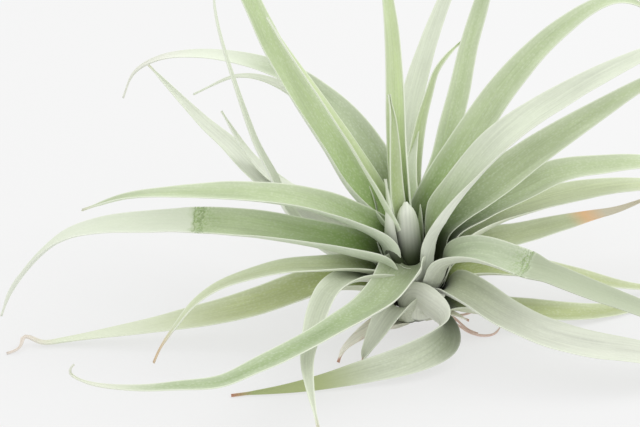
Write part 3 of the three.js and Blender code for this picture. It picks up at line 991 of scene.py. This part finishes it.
    def _half_width(self, leaf: Leaf, spine: Spine, rng: np.random.Generator) -> np.ndarray:
        """Works out half the width of the blade, measured straight across.

        Args:
            leaf: The leaf.
            spine: Its midrib.
            rng: The seeded source of its unevenness.

        Returns:
            Half the width at each station.
        """
        share = spine.share
        half = leaf.width / 2 * (1 - share**leaf.taper) ** self.taper_power
        if leaf.scar:
            narrowed = ease((share - leaf.scar.at) / self.scar_spread)
            half = half * (1 + (leaf.scar.narrowed - 1) * narrowed)
        half = half * (1 + self.width_wave * soft_noise(rng, spine.along, self.width_wave_pitch))
        from_axis = np.hypot(spine.centre[:, 0], spine.centre[:, 1])
        reach = from_axis * math.sin(math.radians(leaf.reach))
        return np.maximum(np.minimum(half, reach), self.tip_width / 2)

    def _fold(self, leaf: Leaf, spine: Spine, half: np.ndarray) -> np.ndarray:
        """Works out the channel: clasping, then deep, open, and rolled in at the thread.

        Args:
            leaf: The leaf.
            spine: Its midrib.
            half: Half its width at each station.

        Returns:
            Half the angle of the channel at each station, in radians.
        """
        share = spine.share
        opened = np.radians(values_along(leaf.channel, share))
        clasp = np.arcsin(np.minimum(half / np.hypot(spine.centre[:, 0], spine.centre[:, 1]), 1))
        rising = opened * share / leaf.sheath
        sheathed = np.minimum(np.maximum(clasp, rising), opened)
        fold = np.where(share < leaf.sheath, sheathed, opened)
        threaded = ease((share - self.thread_start) / self.thread_length) ** self.thread_power
        return blur(fold + self.thread_fold * threaded, self.fold_softness)

    def _lift(self, spine: Spine, half: np.ndarray, column: np.ndarray) -> np.ndarray:
        """Works out the blade's section: thick at the midrib and thin at the margins.

        Args:
            spine: The midrib.
            half: Half the width at each station.
            column: Places across the leaf, -1 to 1.

        Returns:
            Half the thickness, as stations by columns, and 0 at the margins.
        """
        thick = self.midrib_thickness * np.interp(spine.share, self.thickness_at, self.thickness_there)
        thick = np.minimum(thick, half * self.thickest)
        thin = np.minimum(self.margin_thickness, thick * self.thinnest)
        profile = (1 - column**2) ** self.section_power
        lift = (thin[:, None] + (thick - thin)[:, None] * profile) / 2
        lift[:, [0, -1]] = 0
        return lift

    def _undulation(self, rng: np.random.Generator, spine: Spine, column: np.ndarray) -> np.ndarray:
        """Makes the blade slightly uneven, out of its surface, stronger towards the margins.

        Args:
            rng: The seeded source of its unevenness.
            spine: The midrib.
            column: Places across the leaf, -1 to 1.

        Returns:
            The unevenness in millimetres, as stations by columns.
        """
        left, right, whole = (soft_noise(rng, spine.along, pitch) for pitch in self.wave_pitches)
        out = np.abs(column) ** 2
        sided = np.where(column[None, :] < 0, left[:, None], right[:, None]) * out[None, :]
        waves = self.margin_wave * sided + self.blade_wave * whole[:, None]
        return waves * ease(spine.share / self.wave_start)[:, None]

    def _marks(self, spine: Spine, arc: np.ndarray, index: int) -> dict[str, np.ndarray]:
        """Works out leaf coordinates for the material, for each face of a ring.

        Args:
            spine: The midrib.
            arc: Distance from the midrib along the surface, in millimetres.
            index: Shifts the pattern, so that no two leaves match.

        Returns:
            `place` is the way across and along in millimetres and 1 on the inside. `zone` is the
            distance from the margin in millimetres, the share of the length and the millimetres
            from the base.
        """
        rows, columns = arc.shape
        edge = np.abs(arc[:, -1:]) - np.abs(arc)
        from_base = np.repeat(spine.along[:, None], columns, 1)
        share = np.repeat(spine.share[:, None], columns, 1)

        def paired(values: np.ndarray) -> np.ndarray:
            """Pairs the low and high ring point of each face, back face first."""
            faces = np.stack([values[:, :-1], values[:, 1:]], 2)
            return np.concatenate([faces, faces[:, ::-1, ::-1]], 1)

        inside = np.zeros((rows, 2 * (columns - 1), 2))
        inside[:, columns - 1 :] = 1.0
        across = paired(arc) + inside * self.face_shift
        along = paired(from_base + index * self.pattern_shift)
        place = np.stack([across, along, inside], -1)
        zone = np.stack([paired(edge), paired(share), paired(from_base)], -1)
        return {"place": place, "zone": zone}


@dataclass
class DriedBases:
    """Stubs of dead leaves under the rosette, ragged and curled."""

    foot: Vector
    bases: tuple[Leaf, ...]
    seat: float = 6.2
    first_index: int = 60  # past the last living leaf, so that no pattern is used twice
    finish: PaperyLeafFinish = PaperyLeafFinish()

    def build(self, rosette: Rosette) -> None:
        """Builds and dresses every stub.

        Args:
            rosette: Gives the way in which a leaf is shaped.
        """
        paper = self.finish.material()
        for index, base in enumerate(self.bases, self.first_index):
            piece = rosette.blade(base, self.seat, index)
            piece.name = base.name
            dress(piece, base.name, paper)


# ---- Stem and roots ------------------------------------------------------------------------------


@dataclass
class Stem:
    """The short woody stem that all leaves clasp, broken off at its lower end."""

    foot: Vector
    profile: tuple[tuple[float, float], ...] = (  # radius and height
        (0.4, 5.4), (2.2, 5.45), (3.4, 5.7), (4.1, 6.4), (4.2, 8.0), (4.1, 9.5), (3.5, 13.0),
        (2.8, 17.5), (2.2, 21.0), (1.8, 23.0), (0.4, 23.9))
    sides: int = 36
    rows: int = 40
    unevenness: float = 0.16
    full_unevenness_at: float = 2.0  # radius from which the bark is fully uneven
    softness: float = 1.0  # rows over which its unevenness is smoothed
    bark_radius: float = 4.0  # at which the bark's pattern has its true size
    seed: int = 7
    finish: FibreFinish = FibreFinish("stem_bark", 0x857A60, 0xC0B498, 0.7)

    def build(self) -> None:
        """Builds and dresses the stem."""
        rng = np.random.default_rng(self.seed)
        radii, heights = zip(*self.profile)
        height = np.linspace(heights[0], heights[-1], self.rows)
        radius = np.interp(height, heights, radii)
        angle = np.linspace(0, 2 * math.pi, self.sides, endpoint=False)
        rough = blur(rng.normal(0, 1, (self.rows, self.sides)), self.softness) * self.unevenness
        rough *= np.minimum(radius / self.full_unevenness_at, 1)[:, None]
        out = np.minimum(radius[:, None] + rough, max(radii))
        rings = np.stack([out * np.cos(angle), out * np.sin(angle),
                          np.repeat(height[:, None], self.sides, 1)], -1)
        wide = np.stack([angle, np.roll(angle, -1)], -1) * self.bark_radius
        wide[-1, 1] = 2 * math.pi * self.bark_radius
        place = np.zeros((self.rows, self.sides, 2, 3))
        place[..., 0] = wide[None]
        place[..., 1] = height[:, None, None]
        piece = closed_tube("woody_stem", rings, self.foot, {"place": place})
        dress(piece, "stem", self.finish.material())


@dataclass
class Roots:
    """Wiry roots that grip nothing and lie on the table."""

    foot: Vector
    paths: dict[str, Points]
    radius: float = 0.45
    softness: float = 0.6
    knobs: float = 0.14  # share of the radius
    knob_pitch: float = 1.6
    thickness_at: tuple[float, ...] = (0, 0.9, 1)  # shares of the length
    thickness_there: tuple[float, ...] = (1.0, 0.8, 0.35)  # shares of the radius
    sides: int = 12
    first_side: tuple[float, float, float] = (0.0, 0.3, 1.0)
    stations_per_step: float = 0.4
    spare_stations: int = 8
    pattern_shift: float = 20.0  # along, from one root's pattern to the next
    first_seed: int = 300
    finish: FibreFinish = FibreFinish("root_wire", 0xCBA598, 0xE6D6CB, 0.35, 0.75)

    def build(self) -> None:
        """Builds and dresses every root."""
        bark = self.finish.material()
        for index, (name, points) in enumerate(self.paths.items()):
            rng = np.random.default_rng(self.first_seed + index)
            path = rounded_path(np.array(points, float), self.softness)
            stations = int(len(path) * self.stations_per_step) + self.spare_stations
            spine = framed(path, np.array(self.first_side), stations, (0.0, 0.0))
            angle = np.linspace(0, 2 * math.pi, self.sides, endpoint=False)
            thick = self.radius * (1 + self.knobs * soft_noise(rng, spine.along, self.knob_pitch))
            thick *= np.interp(spine.share, self.thickness_at, self.thickness_there)
            ring = (spine.side[:, None] * np.cos(angle)[None, :, None]
                    + spine.normal[:, None] * np.sin(angle)[None, :, None])
            rings = spine.centre[:, None] + ring * thick[:, None, None]
            place = np.zeros((len(thick), self.sides, 2, 3))
            place[..., 0, 0] = angle * self.radius
            place[..., 1, 0] = angle * self.radius + 2 * math.pi / self.sides * self.radius
            place[..., 1] = spine.along[:, None, None] + index * self.pattern_shift
            piece = closed_tube(f"{name}_wire", rings, self.foot, {"place": place})
            dress(piece, name, bark)


# ---- Studio --------------------------------------------------------------------------------------


@dataclass
class Studio:
    """Pale table, soft light and the camera at the photograph's viewing angle."""

    foot: Vector
    camera_place: tuple[float, float, float] = (-28.5, -408.7, 231.1)  # millimetres from the foot
    camera_tilt: float = 25.0  # degrees down from level
    lens: float = 84.9  # focal length in millimetres
    table_colour: int = 0x888888
    dome_strength: float = 1.15
    key_power: float = 4.0
    table_glow: float = 0.6  # light of its own, which keeps the shadows faint
    table_reach: float = 6.0  # metres from the middle to each side
    key_place: tuple[float, float, float] = (0.75, 0.35, 0.95)  # metres from the foot
    key_size: float = 0.9  # metres
    clip: tuple[float, float] = (0.01, 30)  # metres

    def build(self) -> None:
        """Sets up the table, the lights and the camera."""
        self._table()
        self._lights()
        self._camera()

    def _table(self) -> None:
        """Lays a wide, grey, matt table top that gives no reflections and glows with light of its own,
        which brightens it and fades its shadows.
        """
        mesh = bpy.data.meshes.new("table_top")
        wide = self.table_reach
        corners = [(-wide, -wide, 0), (wide, -wide, 0), (wide, wide, 0), (-wide, wide, 0)]
        mesh.from_pydata(corners, [], [(0, 1, 2, 3)])
        table = bpy.data.objects.new("table_top", mesh)
        bpy.context.scene.collection.objects.link(table)
        made = new_material("glowing_white_table")
        # painted light: the table top glows, which fills in the plant's shadows on it
        shader = add_node(made.node_tree, "ShaderNodeBsdfPrincipled", {
            "Base Color": linear(self.table_colour), "Roughness": 0.7, "Specular IOR Level": 0.0,
            "Emission Color": (1, 1, 1, 1), "Emission Strength": self.table_glow})
        add_node(made.node_tree, "ShaderNodeOutputMaterial", {"Surface": shader.outputs[0]})
        mesh.materials.append(made)

    def _lights(self) -> None:
        """Hangs an even dome of light, and a large soft light from the right and behind."""
        scene = bpy.context.scene
        scene.view_settings.view_transform = "Standard"
        world = bpy.data.worlds.new("studio_dome")
        scene.world = world
        world.use_nodes = True
        world.node_tree.nodes.clear()
        dome = add_node(world.node_tree, "ShaderNodeBackground",
                        {"Color": (1, 1, 1, 1), "Strength": self.dome_strength})
        add_node(world.node_tree, "ShaderNodeOutputWorld", {"Surface": dome.outputs[0]})
        key = bpy.data.lights.new("softbox", "AREA")
        key.shape, key.size, key.energy = "DISK", self.key_size, self.key_power
        lamp = bpy.data.objects.new("softbox", key)
        lamp.location = self.foot + Vector(self.key_place)
        lamp.rotation_euler = (self.foot - lamp.location).to_track_quat("-Z", "Y").to_euler()
        scene.collection.objects.link(lamp)

    def _camera(self) -> None:
        """Places a long lens, level from side to side."""
        lens = bpy.data.cameras.new("camera")
        lens.lens = self.lens
        lens.clip_start, lens.clip_end = self.clip
        camera = bpy.data.objects.new("camera", lens)
        camera.location = self.foot + Vector(self.camera_place) * MM
        camera.rotation_euler = (math.radians(90 - self.camera_tilt), 0, 0)
        bpy.context.scene.collection.objects.link(camera)
        bpy.context.scene.camera = camera


# ---- The plant's own leaves and roots ------------------------------------------------------------

ORANGE_END = Drying(0.63, 0.1, 0xECBF92, 0xCFC8B4, 0.71)
BROWN_END = Drying(0.86, 0.1, 0xD3BFA0, 0xB8987C)
PINK_END = Drying(0.93, 0.06, 0xDCC4B6, 0xC6A799)
PALING_END = Drying(0.36, 0.4, 0xD8DEC8, 0xDDD4CA, 0.85)
RED_BROWN_END = Drying(0.5, 0.25, 0xA3AE7A, 0xC08674, 0.93)
STRAW_END = Drying(0.76, 0.16, 0xDADECD, 0xD8D9CC)
SILVERED_END = Drying(0.55, 0.2, 0xDDE3D2, 0xE0E2D6)
FRESH_END = Drying(1.2)  # starts past the tip, so nothing is dried

LEAVES = (
    Leaf("right_low", around=5, width=12.5,
         through=((11, 1, 10), (25, 3, 7), (41, 6, 4), (57, 9, 2), (76, 17, 0.8), (92, 28, 0.4)),
         roll=(0, 5, 15, 12, 0), tone=Tone.MOSS),
    Leaf("back_floor", around=112, width=12.5,
         through=((-4, 10, 11), (-8, 24, 9), (-11, 42, 4), (-12, 62, 1), (-8, 82, 0.4)),
         tone=Tone.GREY),
    Leaf("left_low_broad", around=185, width=14,
         through=((-10, -1, 17), (-23, -1, 19), (-35, -2, 16), (-47, -3, 12), (-59, -4, 9),
                  (-77, -6, 6), (-96, -7, 3), (-108, -8, 1.4), (-113, -9, 1.2), (-119, -7, 3),
                  (-119, -12, 1.2), (-123, -14, 0.4)),
         roll=(0, -10, -25, -25, -14, 0, 0), tone=Tone.MOSS, drying=PALING_END),
    Leaf("front_under", around=243, width=12.5,
         through=((-3.9, -7.8, 15.4), (-7, -13.8, 15.8), (-11, -19.3, 12), (-14.8, -20.5, 5),
                  (-15.6, -18, 0.4)),
         tone=Tone.ASHEN, drying=PINK_END, channel=(88, 80, 70, 70, 80), reach=88, dark=(9, 2)),
    Leaf("back_right_floor", around=70, width=12,
         through=((5, 10, 12), (13, 21, 12), (24, 35, 7), (33, 47, 1.5), (40, 57, 0.4)),
         tone=Tone.GREY),
    # front_twist's long inside reach of painted shade darkens the inside of its curl.
    Leaf("front_twist", around=282, width=15.4,
         through=((2.1, -7.9, 15), (5.4, -12.2, 15.5), (9.2, -16, 13.5), (9.4, -20, 11),
                  (5, -24, 8.9), (-3, -28, 7), (-18, -32, 4.4), (-34, -35.5, 2.2), (-54, -38, 0.6)),
         roll=(0, -40, -35, -15, -6, 0, 0, 0, 0, 0, 0), taper=1.15, tone=Tone.GREY,
         drying=RED_BROWN_END, channel=(86, 80, 62, 42, 32, 28, 28, 28), reach=88, dark=(33, 3)),
    Leaf("back_left_floor", around=155, width=12,
         through=((-9, 5, 15), (-18, 14, 16), (-26, 24, 11), (-34, 34, 4.5), (-44, 43, 0.4)),
         tone=Tone.GREY),
    Leaf("right_cross", around=15, width=12,
         through=((11, 2, 20), (21, 6, 20), (37, 12, 16), (54, 18, 10), (75, 24, 3), (95, 28, 0.4)),
         roll=(0, 15, 28, 28, 15, 0), tone=Tone.MOSS),
    Leaf("front_right_broad", around=322, width=13,
         through=((9, -7, 20.5), (15, -13, 21), (24, -21.5, 18.5), (35, -27.5, 15.5),
                  (47, -30.5, 13.2), (64, -31, 10.5), (83, -28, 4.6), (102, -21, 1.2),
                  (114, -12, 0.4)),
         roll=(0, 3, 6, 6, 5, 0), taper=2.2, tone=Tone.SILVER),
    Leaf("back_mid", around=88, width=12,
         through=((1, 11, 24), (5, 25, 27), (8, 44, 25), (9, 64, 18), (12, 84, 8))),
    Leaf("left_thin_arch", around=208, width=11,
         through=((-8, -2.6, 21), (-16, -6.8, 26.6), (-29, -12, 29.3), (-39, -14, 29.7),
                  (-49, -17, 28.6), (-58, -20, 26.5), (-65, -23, 22.6), (-70.5, -26, 16.5),
                  (-75, -27, 10), (-77, -28, 5.5)),
         roll=(0, -6, -12, -10, 0), taper=1.5, tone=Tone.OLIVE, drying=BROWN_END, reach=35),
    Leaf("right_orange", around=45, width=12,
         through=((9, 8, 22), (22, 16, 23), (35, 24, 22), (49, 32, 22), (60, 38, 22), (70, 43, 22),
                  (84, 49, 25)),
         roll=(0, 5, 15, 15, 10, 0), tone=Tone.OLIVE, drying=ORANGE_END, dark=(26, 6)),
    Leaf("left_olive", around=222, width=13,
         through=((-7.5, -4.2, 20.4), (-13, -8, 24), (-20, -13.8, 26.4), (-25.5, -20, 25.8),
                  (-29, -28, 22.5), (-31, -38, 19), (-32, -48, 17.5), (-31, -60, 15.5),
                  (-29, -75, 14)),
         taper=1.2, tone=Tone.GREY, reach=32),
    Leaf("back_left_low", around=128, width=14,
         through=((-7, 9, 23), (-16, 18, 24), (-25, 28, 24.5), (-38, 38, 28), (-50, 48, 34),
                  (-58, 56, 39), (-69, 64, 46), (-87, 76, 61)),
         taper=2.2, tone=Tone.FROST, dark=(9, 4)),
    Leaf("right_back_low", around=25, width=13.5,
         through=((10, 6, 26), (22, 18, 29), (35, 27, 30.5), (49, 34, 31), (63, 40, 31), (77, 45, 30),
                  (98, 52, 27), (118, 58, 19)),
         roll=(0, 8, 24, 28, 20, 5), taper=2.2, tone=Tone.OLIVE, dark=(28, 6)),
    Leaf("left_rising", around=172, width=11,
         through=((-9, 3, 23), (-17, 6, 23), (-25, 9, 24), (-34, 12, 30), (-40, 15, 38),
                  (-43, 18, 45), (-48, 21, 54), (-53, 24, 68), (-58, 28, 84), (-60, 30, 93),
                  (-61, 32, 106)),
         taper=1.4, tone=Tone.PALE),
    Leaf("back_left_short", around=145, width=13,
         through=((-8, 8, 27), (-16, 18, 29), (-25, 28, 29), (-35, 37, 30.5), (-45, 45, 33),
                  (-53, 51, 40), (-61, 55, 52)),
         taper=2.2, tone=Tone.FROST, drying=FRESH_END, dark=(9, 4)),
    Leaf("left_scar", around=195, width=13.2,
         through=((-9, -2, 27), (-21, -6, 33.5), (-34, -8, 37.5), (-49, -10, 41), (-63, -11, 42.7),
                  (-78, -10, 42), (-94, -6, 39), (-106, -2, 33.5), (-117, 2, 22.5), (-124, 4, 12.5),
                  (-128, 5, 3)),
         roll=(0, -6, -16, -15, -10, 0), taper=3, scar=Scar(at=0.475, narrowed=0.95, beyond=0xE4E8DC),
         tone=Tone.FRESH, channel=(85, 76, 62, 50, 42, 36, 30, 28), dark=(27, 6)),
    Leaf("right_scar", around=328, width=13,
         through=((8.5, -6, 28.6), (16.5, -10, 32.8), (33, -17, 30.8), (53, -21, 24.4),
                  (80, -22, 14.4), (100, -18, 6.4), (116, -12, 0.6)),
         roll=(0, 12, 20, 18, 10, 0), taper=2.4, scar=Scar(at=0.32, narrowed=0.76, beyond=0xA2AB91),
         tone=Tone.STREAKED, channel=(85, 66, 50, 40, 34, 30, 28)),
    Leaf("front_long", around=250, width=15.6,
         through=((-1.7, -6.8, 29), (-4.6, -11.5, 26.6), (-11.3, -23, 23.8), (-21.5, -36, 23.8),
                  (-34.5, -50, 23.5), (-45, -59, 23), (-55, -65, 21.5), (-66, -66, 21),
                  (-76, -64, 19), (-88, -60, 17.5), (-94, -57, 17.5), (-97, -56, 19), (-95, -57, 22)),
         roll=(0, 0, 2, -8, -12, 0), taper=1.15, tone=Tone.SEDGE, drying=STRAW_END,
         channel=(89, 84, 58, 42, 34, 30, 28, 28, 28, 28, 28), reach=40, sheath=0.05, dark=(25, 5)),
    Leaf("back_faint_arc", around=120, width=11,
         through=((-7, 11, 31), (-14, 22, 39), (-27, 42, 54), (-42, 56, 61), (-56, 64, 61),
                  (-71, 68, 53)),
         tone=Tone.FROST, drying=FRESH_END),
    Leaf("right_back_high", around=48, width=12.5,
         through=((9, 9, 30), (21, 17, 34), (34, 24, 37.5), (47, 30, 41), (61, 35, 41.2),
                  (76, 39, 40.6), (96, 44, 36), (114, 48, 27)),
         roll=(0, 3, 8, 8, 3, 0), taper=2.2, tone=Tone.DEEP, dark=(30, 6)),
    Leaf("left_arch", around=182, width=12.6,
         through=((-8, -1, 33), (-20, -3, 41.5), (-31, -5, 46.5), (-43, -6, 49.2), (-55, -7, 50.7),
                  (-66, -7, 50.7), (-78, -7, 50.2), (-87, -6, 48.5), (-99, -3, 43)),
         roll=(0, 0, -6, -10, -6, 0), taper=2.2, tone=Tone.FRESH,
         channel=(85, 80, 70, 56, 45, 36, 30, 28), dark=(26, 6)),
    Leaf("back_curl", around=98, width=7,
         through=((0, 13, 32), (0, 20, 39), (1, 28, 46), (3.2, 34, 57), (6, 39, 65), (8, 42, 70.5),
                  (11.5, 45, 74.5), (15, 49, 76.6), (18.5, 53, 78)),
         roll=(0, 0, 15, 25, 25, 0), tone=Tone.BRIGHT, channel=(80, 70, 60, 60, 60, 50)),
    Leaf("right_fan", around=62, width=13,
         through=((6, 8, 33), (13, 12, 37), (25, 18, 43), (40, 24, 52), (59, 31, 62), (75, 35, 70.5),
                  (94, 38, 78)),
         roll=(0, 5, 12, 15, 10, 0), taper=2, tone=Tone.DEEP, dark=(30, 6)),
    Leaf("left_back_arch", around=112, width=12.5,
         through=((-5, 12, 31), (-8, 23, 39), (-14, 32, 49), (-21, 39, 56), (-29, 45, 61.5),
                  (-38, 52, 65.5), (-51, 60, 67.5), (-68, 66, 68), (-82, 69, 65.5), (-91, 70, 60),
                  (-95, 70, 51)),
         taper=2, drying=SILVERED_END, dark=(34, 6)),
    Leaf("right_front_arch", around=325, width=13.5,
         through=((4, -4, 34), (6.2, -5, 42), (11, -5, 50), (24, -1, 64.5), (42, 4, 76), (65, 9, 87),
                  (85, 12, 94), (100, 14, 97)),
         roll=(0, 40, 60, 65, 60, 40), taper=2, tone=Tone.PALE, channel=(85, 75, 60, 45, 35, 28, 28)),
    Leaf("back_right_tall", around=80, width=8,
         through=((3, 9, 33), (6, 18, 39.5), (10, 26, 47), (12.6, 33, 55.5), (15.6, 40, 65),
                  (18.8, 48, 77), (23, 54, 90), (27, 60, 104), (34, 67, 117), (45, 75, 124)),
         taper=2.5, tone=Tone.FRESH, dark=(30, 6)),
    Leaf("left_upper_broad", around=142, width=15,
         through=((-5, 6, 34), (-9, 11, 36), (-16.5, 16, 42), (-24, 23, 52), (-34, 32, 65),
                  (-43.3, 38, 79), (-50.5, 43, 93.5), (-58, 48, 108), (-68, 54, 119), (-80, 60, 124),
                  (-93, 65, 120)),
         taper=3, tone=Tone.LEAFY, dark=(26, 6)),
    Leaf("back_tall", around=92, width=9,
         through=((-2, 7, 36), (-3, 17, 43), (-2, 29, 49), (0, 39, 59), (5, 51, 73), (12, 63, 88),
                  (20, 74, 102), (30, 85, 112)),
         taper=2.2, tone=Tone.PALE),
    Leaf("back_right_arch", around=50, width=12.5,
         through=((4, 5, 37), (8, 9, 45), (16, 15, 57), (28, 23, 73), (44, 30, 88), (60, 35, 96),
                  (71, 37, 93), (80, 38, 83)),
         roll=(0, 3, 10, 12, 8, 0), taper=2, tone=Tone.FRESH, dark=(34, 6)),
    Leaf("left_upper_edge", around=175, width=11,
         through=((-5, 0, 36), (-9, 0, 45), (-18, 0, 61), (-28, 3, 76), (-38, 9, 89), (-44, 14, 97)),
         tone=Tone.BRIGHT, drying=FRESH_END),
    # heart_front and heart_left reach far with painted shade, which makes the dark cup at the heart.
    Leaf("heart_front", around=270, width=7,
         through=((-1.6, -4.4, 30), (-2.4, -3.9, 37), (-3.2, -2.8, 45.6)),
         taper=9, tone=Tone.YOUNG, drying=FRESH_END, channel=(80, 70, 62, 55), reach=85,
         dark=(36, 26)),
    Leaf("centre_upright", around=65, width=6.4,
         through=((-3, 2, 35), (-4.8, 3, 52.5), (-5.8, 4.5, 66), (-6.4, 6, 80), (-7.4, 10, 93.5),
                  (-9.4, 15, 108), (-12, 22, 126)),
         taper=3.5, tone=Tone.LIVELY, channel=(90, 90, 85, 75, 70, 60, 45), dark=(26, 6)),
    Leaf("centre_inner", around=120, width=4.6,
         through=((-4.4, -0.8, 38), (-5.8, -0.6, 46), (-6.4, -0.2, 54), (-6.8, 0, 62),
                  (-7.4, 0.5, 70), (-8.6, 1, 78)),
         taper=4, tone=Tone.BRIGHT, drying=FRESH_END, channel=(85, 85, 85, 80, 70)),
    Leaf("heart_left", around=232, width=7.2,
         through=((-6.8, -4.6, 28), (-7.8, -4.2, 35), (-8.1, -3, 41), (-8.3, -1.6, 46),
                  (-9.3, -0.6, 52)),
         taper=1.5, tone=Tone.YOUNG, drying=FRESH_END, channel=(80, 70, 60, 50), reach=80,
         dark=(32, 25)),
)

DRIED = (
    Leaf("dried_base_front", around=222, width=9,
         through=((-11, -10, 8), (-18, -15, 6), (-22, -18, 3.6), (-23, -19.3, 0.5)),
         channel=(80, 60, 45, 35, 30)),
    Leaf("dried_base_right", around=342, width=6,
         through=((8, -2.6, 8.7), (13, -3.6, 8.2), (17, -4, 6.2))),
    Leaf("dried_base_back", around=60, width=6,
         through=((5, 9, 6), (9, 15, 4), (12, 22, 1))),
)

ROOTS: dict[str, Points] = {
    "root_right": ((2.9, 1, 4.9), (8, 2, 5.2), (12.5, 1.6, 4.4), (16, 0.4, 1.8), (18, -0.8, 0.8),
                   (20.3, -2, 0.7)),
    "root_loop": ((2.6, -0.9, 4.9), (8, -0.8, 5.2), (13, -1.8, 4), (18, -3.2, 1.4), (22.5, -3.6, 0.7),
                  (25.4, -2.6, 0.9), (27.2, -0.4, 1.8)),
    "root_left": ((-2.5, 1, 4.6), (-6, 4, 4.2), (-10, 7.5, 2.6), (-13, 9, 1), (-16, 13, 0.7)),
    "root_back": ((0.3, 2.6, 4.4), (1, 7, 4.2), (0, 12, 2.6), (-2, 16, 1), (-1, 22, 0.7)),
    "root_back_left": ((-1.9, 1.8, 4.4), (-5, 5, 4.2), (-9, 9, 2.6), (-13, 12, 1), (-16, 18, 0.7)),
    "root_back_right": ((1.9, 1.8, 4.4), (6, 5, 4.2), (11, 7, 2.6), (16, 9, 1), (22, 13, 0.7)),
}

STEM_FOOT = 5.4  # height of the stem's lower end above the table, in millimetres


def main() -> None:
    """Builds the plant and the studio."""
    logging.basicConfig(level=logging.INFO, format="%(name)s: %(message)s")
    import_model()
    low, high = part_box("stem")
    foot = Vector(((low.x + high.x) / 2, (low.y + high.y) / 2, low.z - STEM_FOOT * MM))
    Studio(foot).build()
    Stem(foot).build()
    Roots(foot, ROOTS).build()
    rosette = Rosette(foot, LEAVES)
    DriedBases(foot, DRIED).build(rosette)
    rosette.build()


if __name__ == "__main__":
    main()
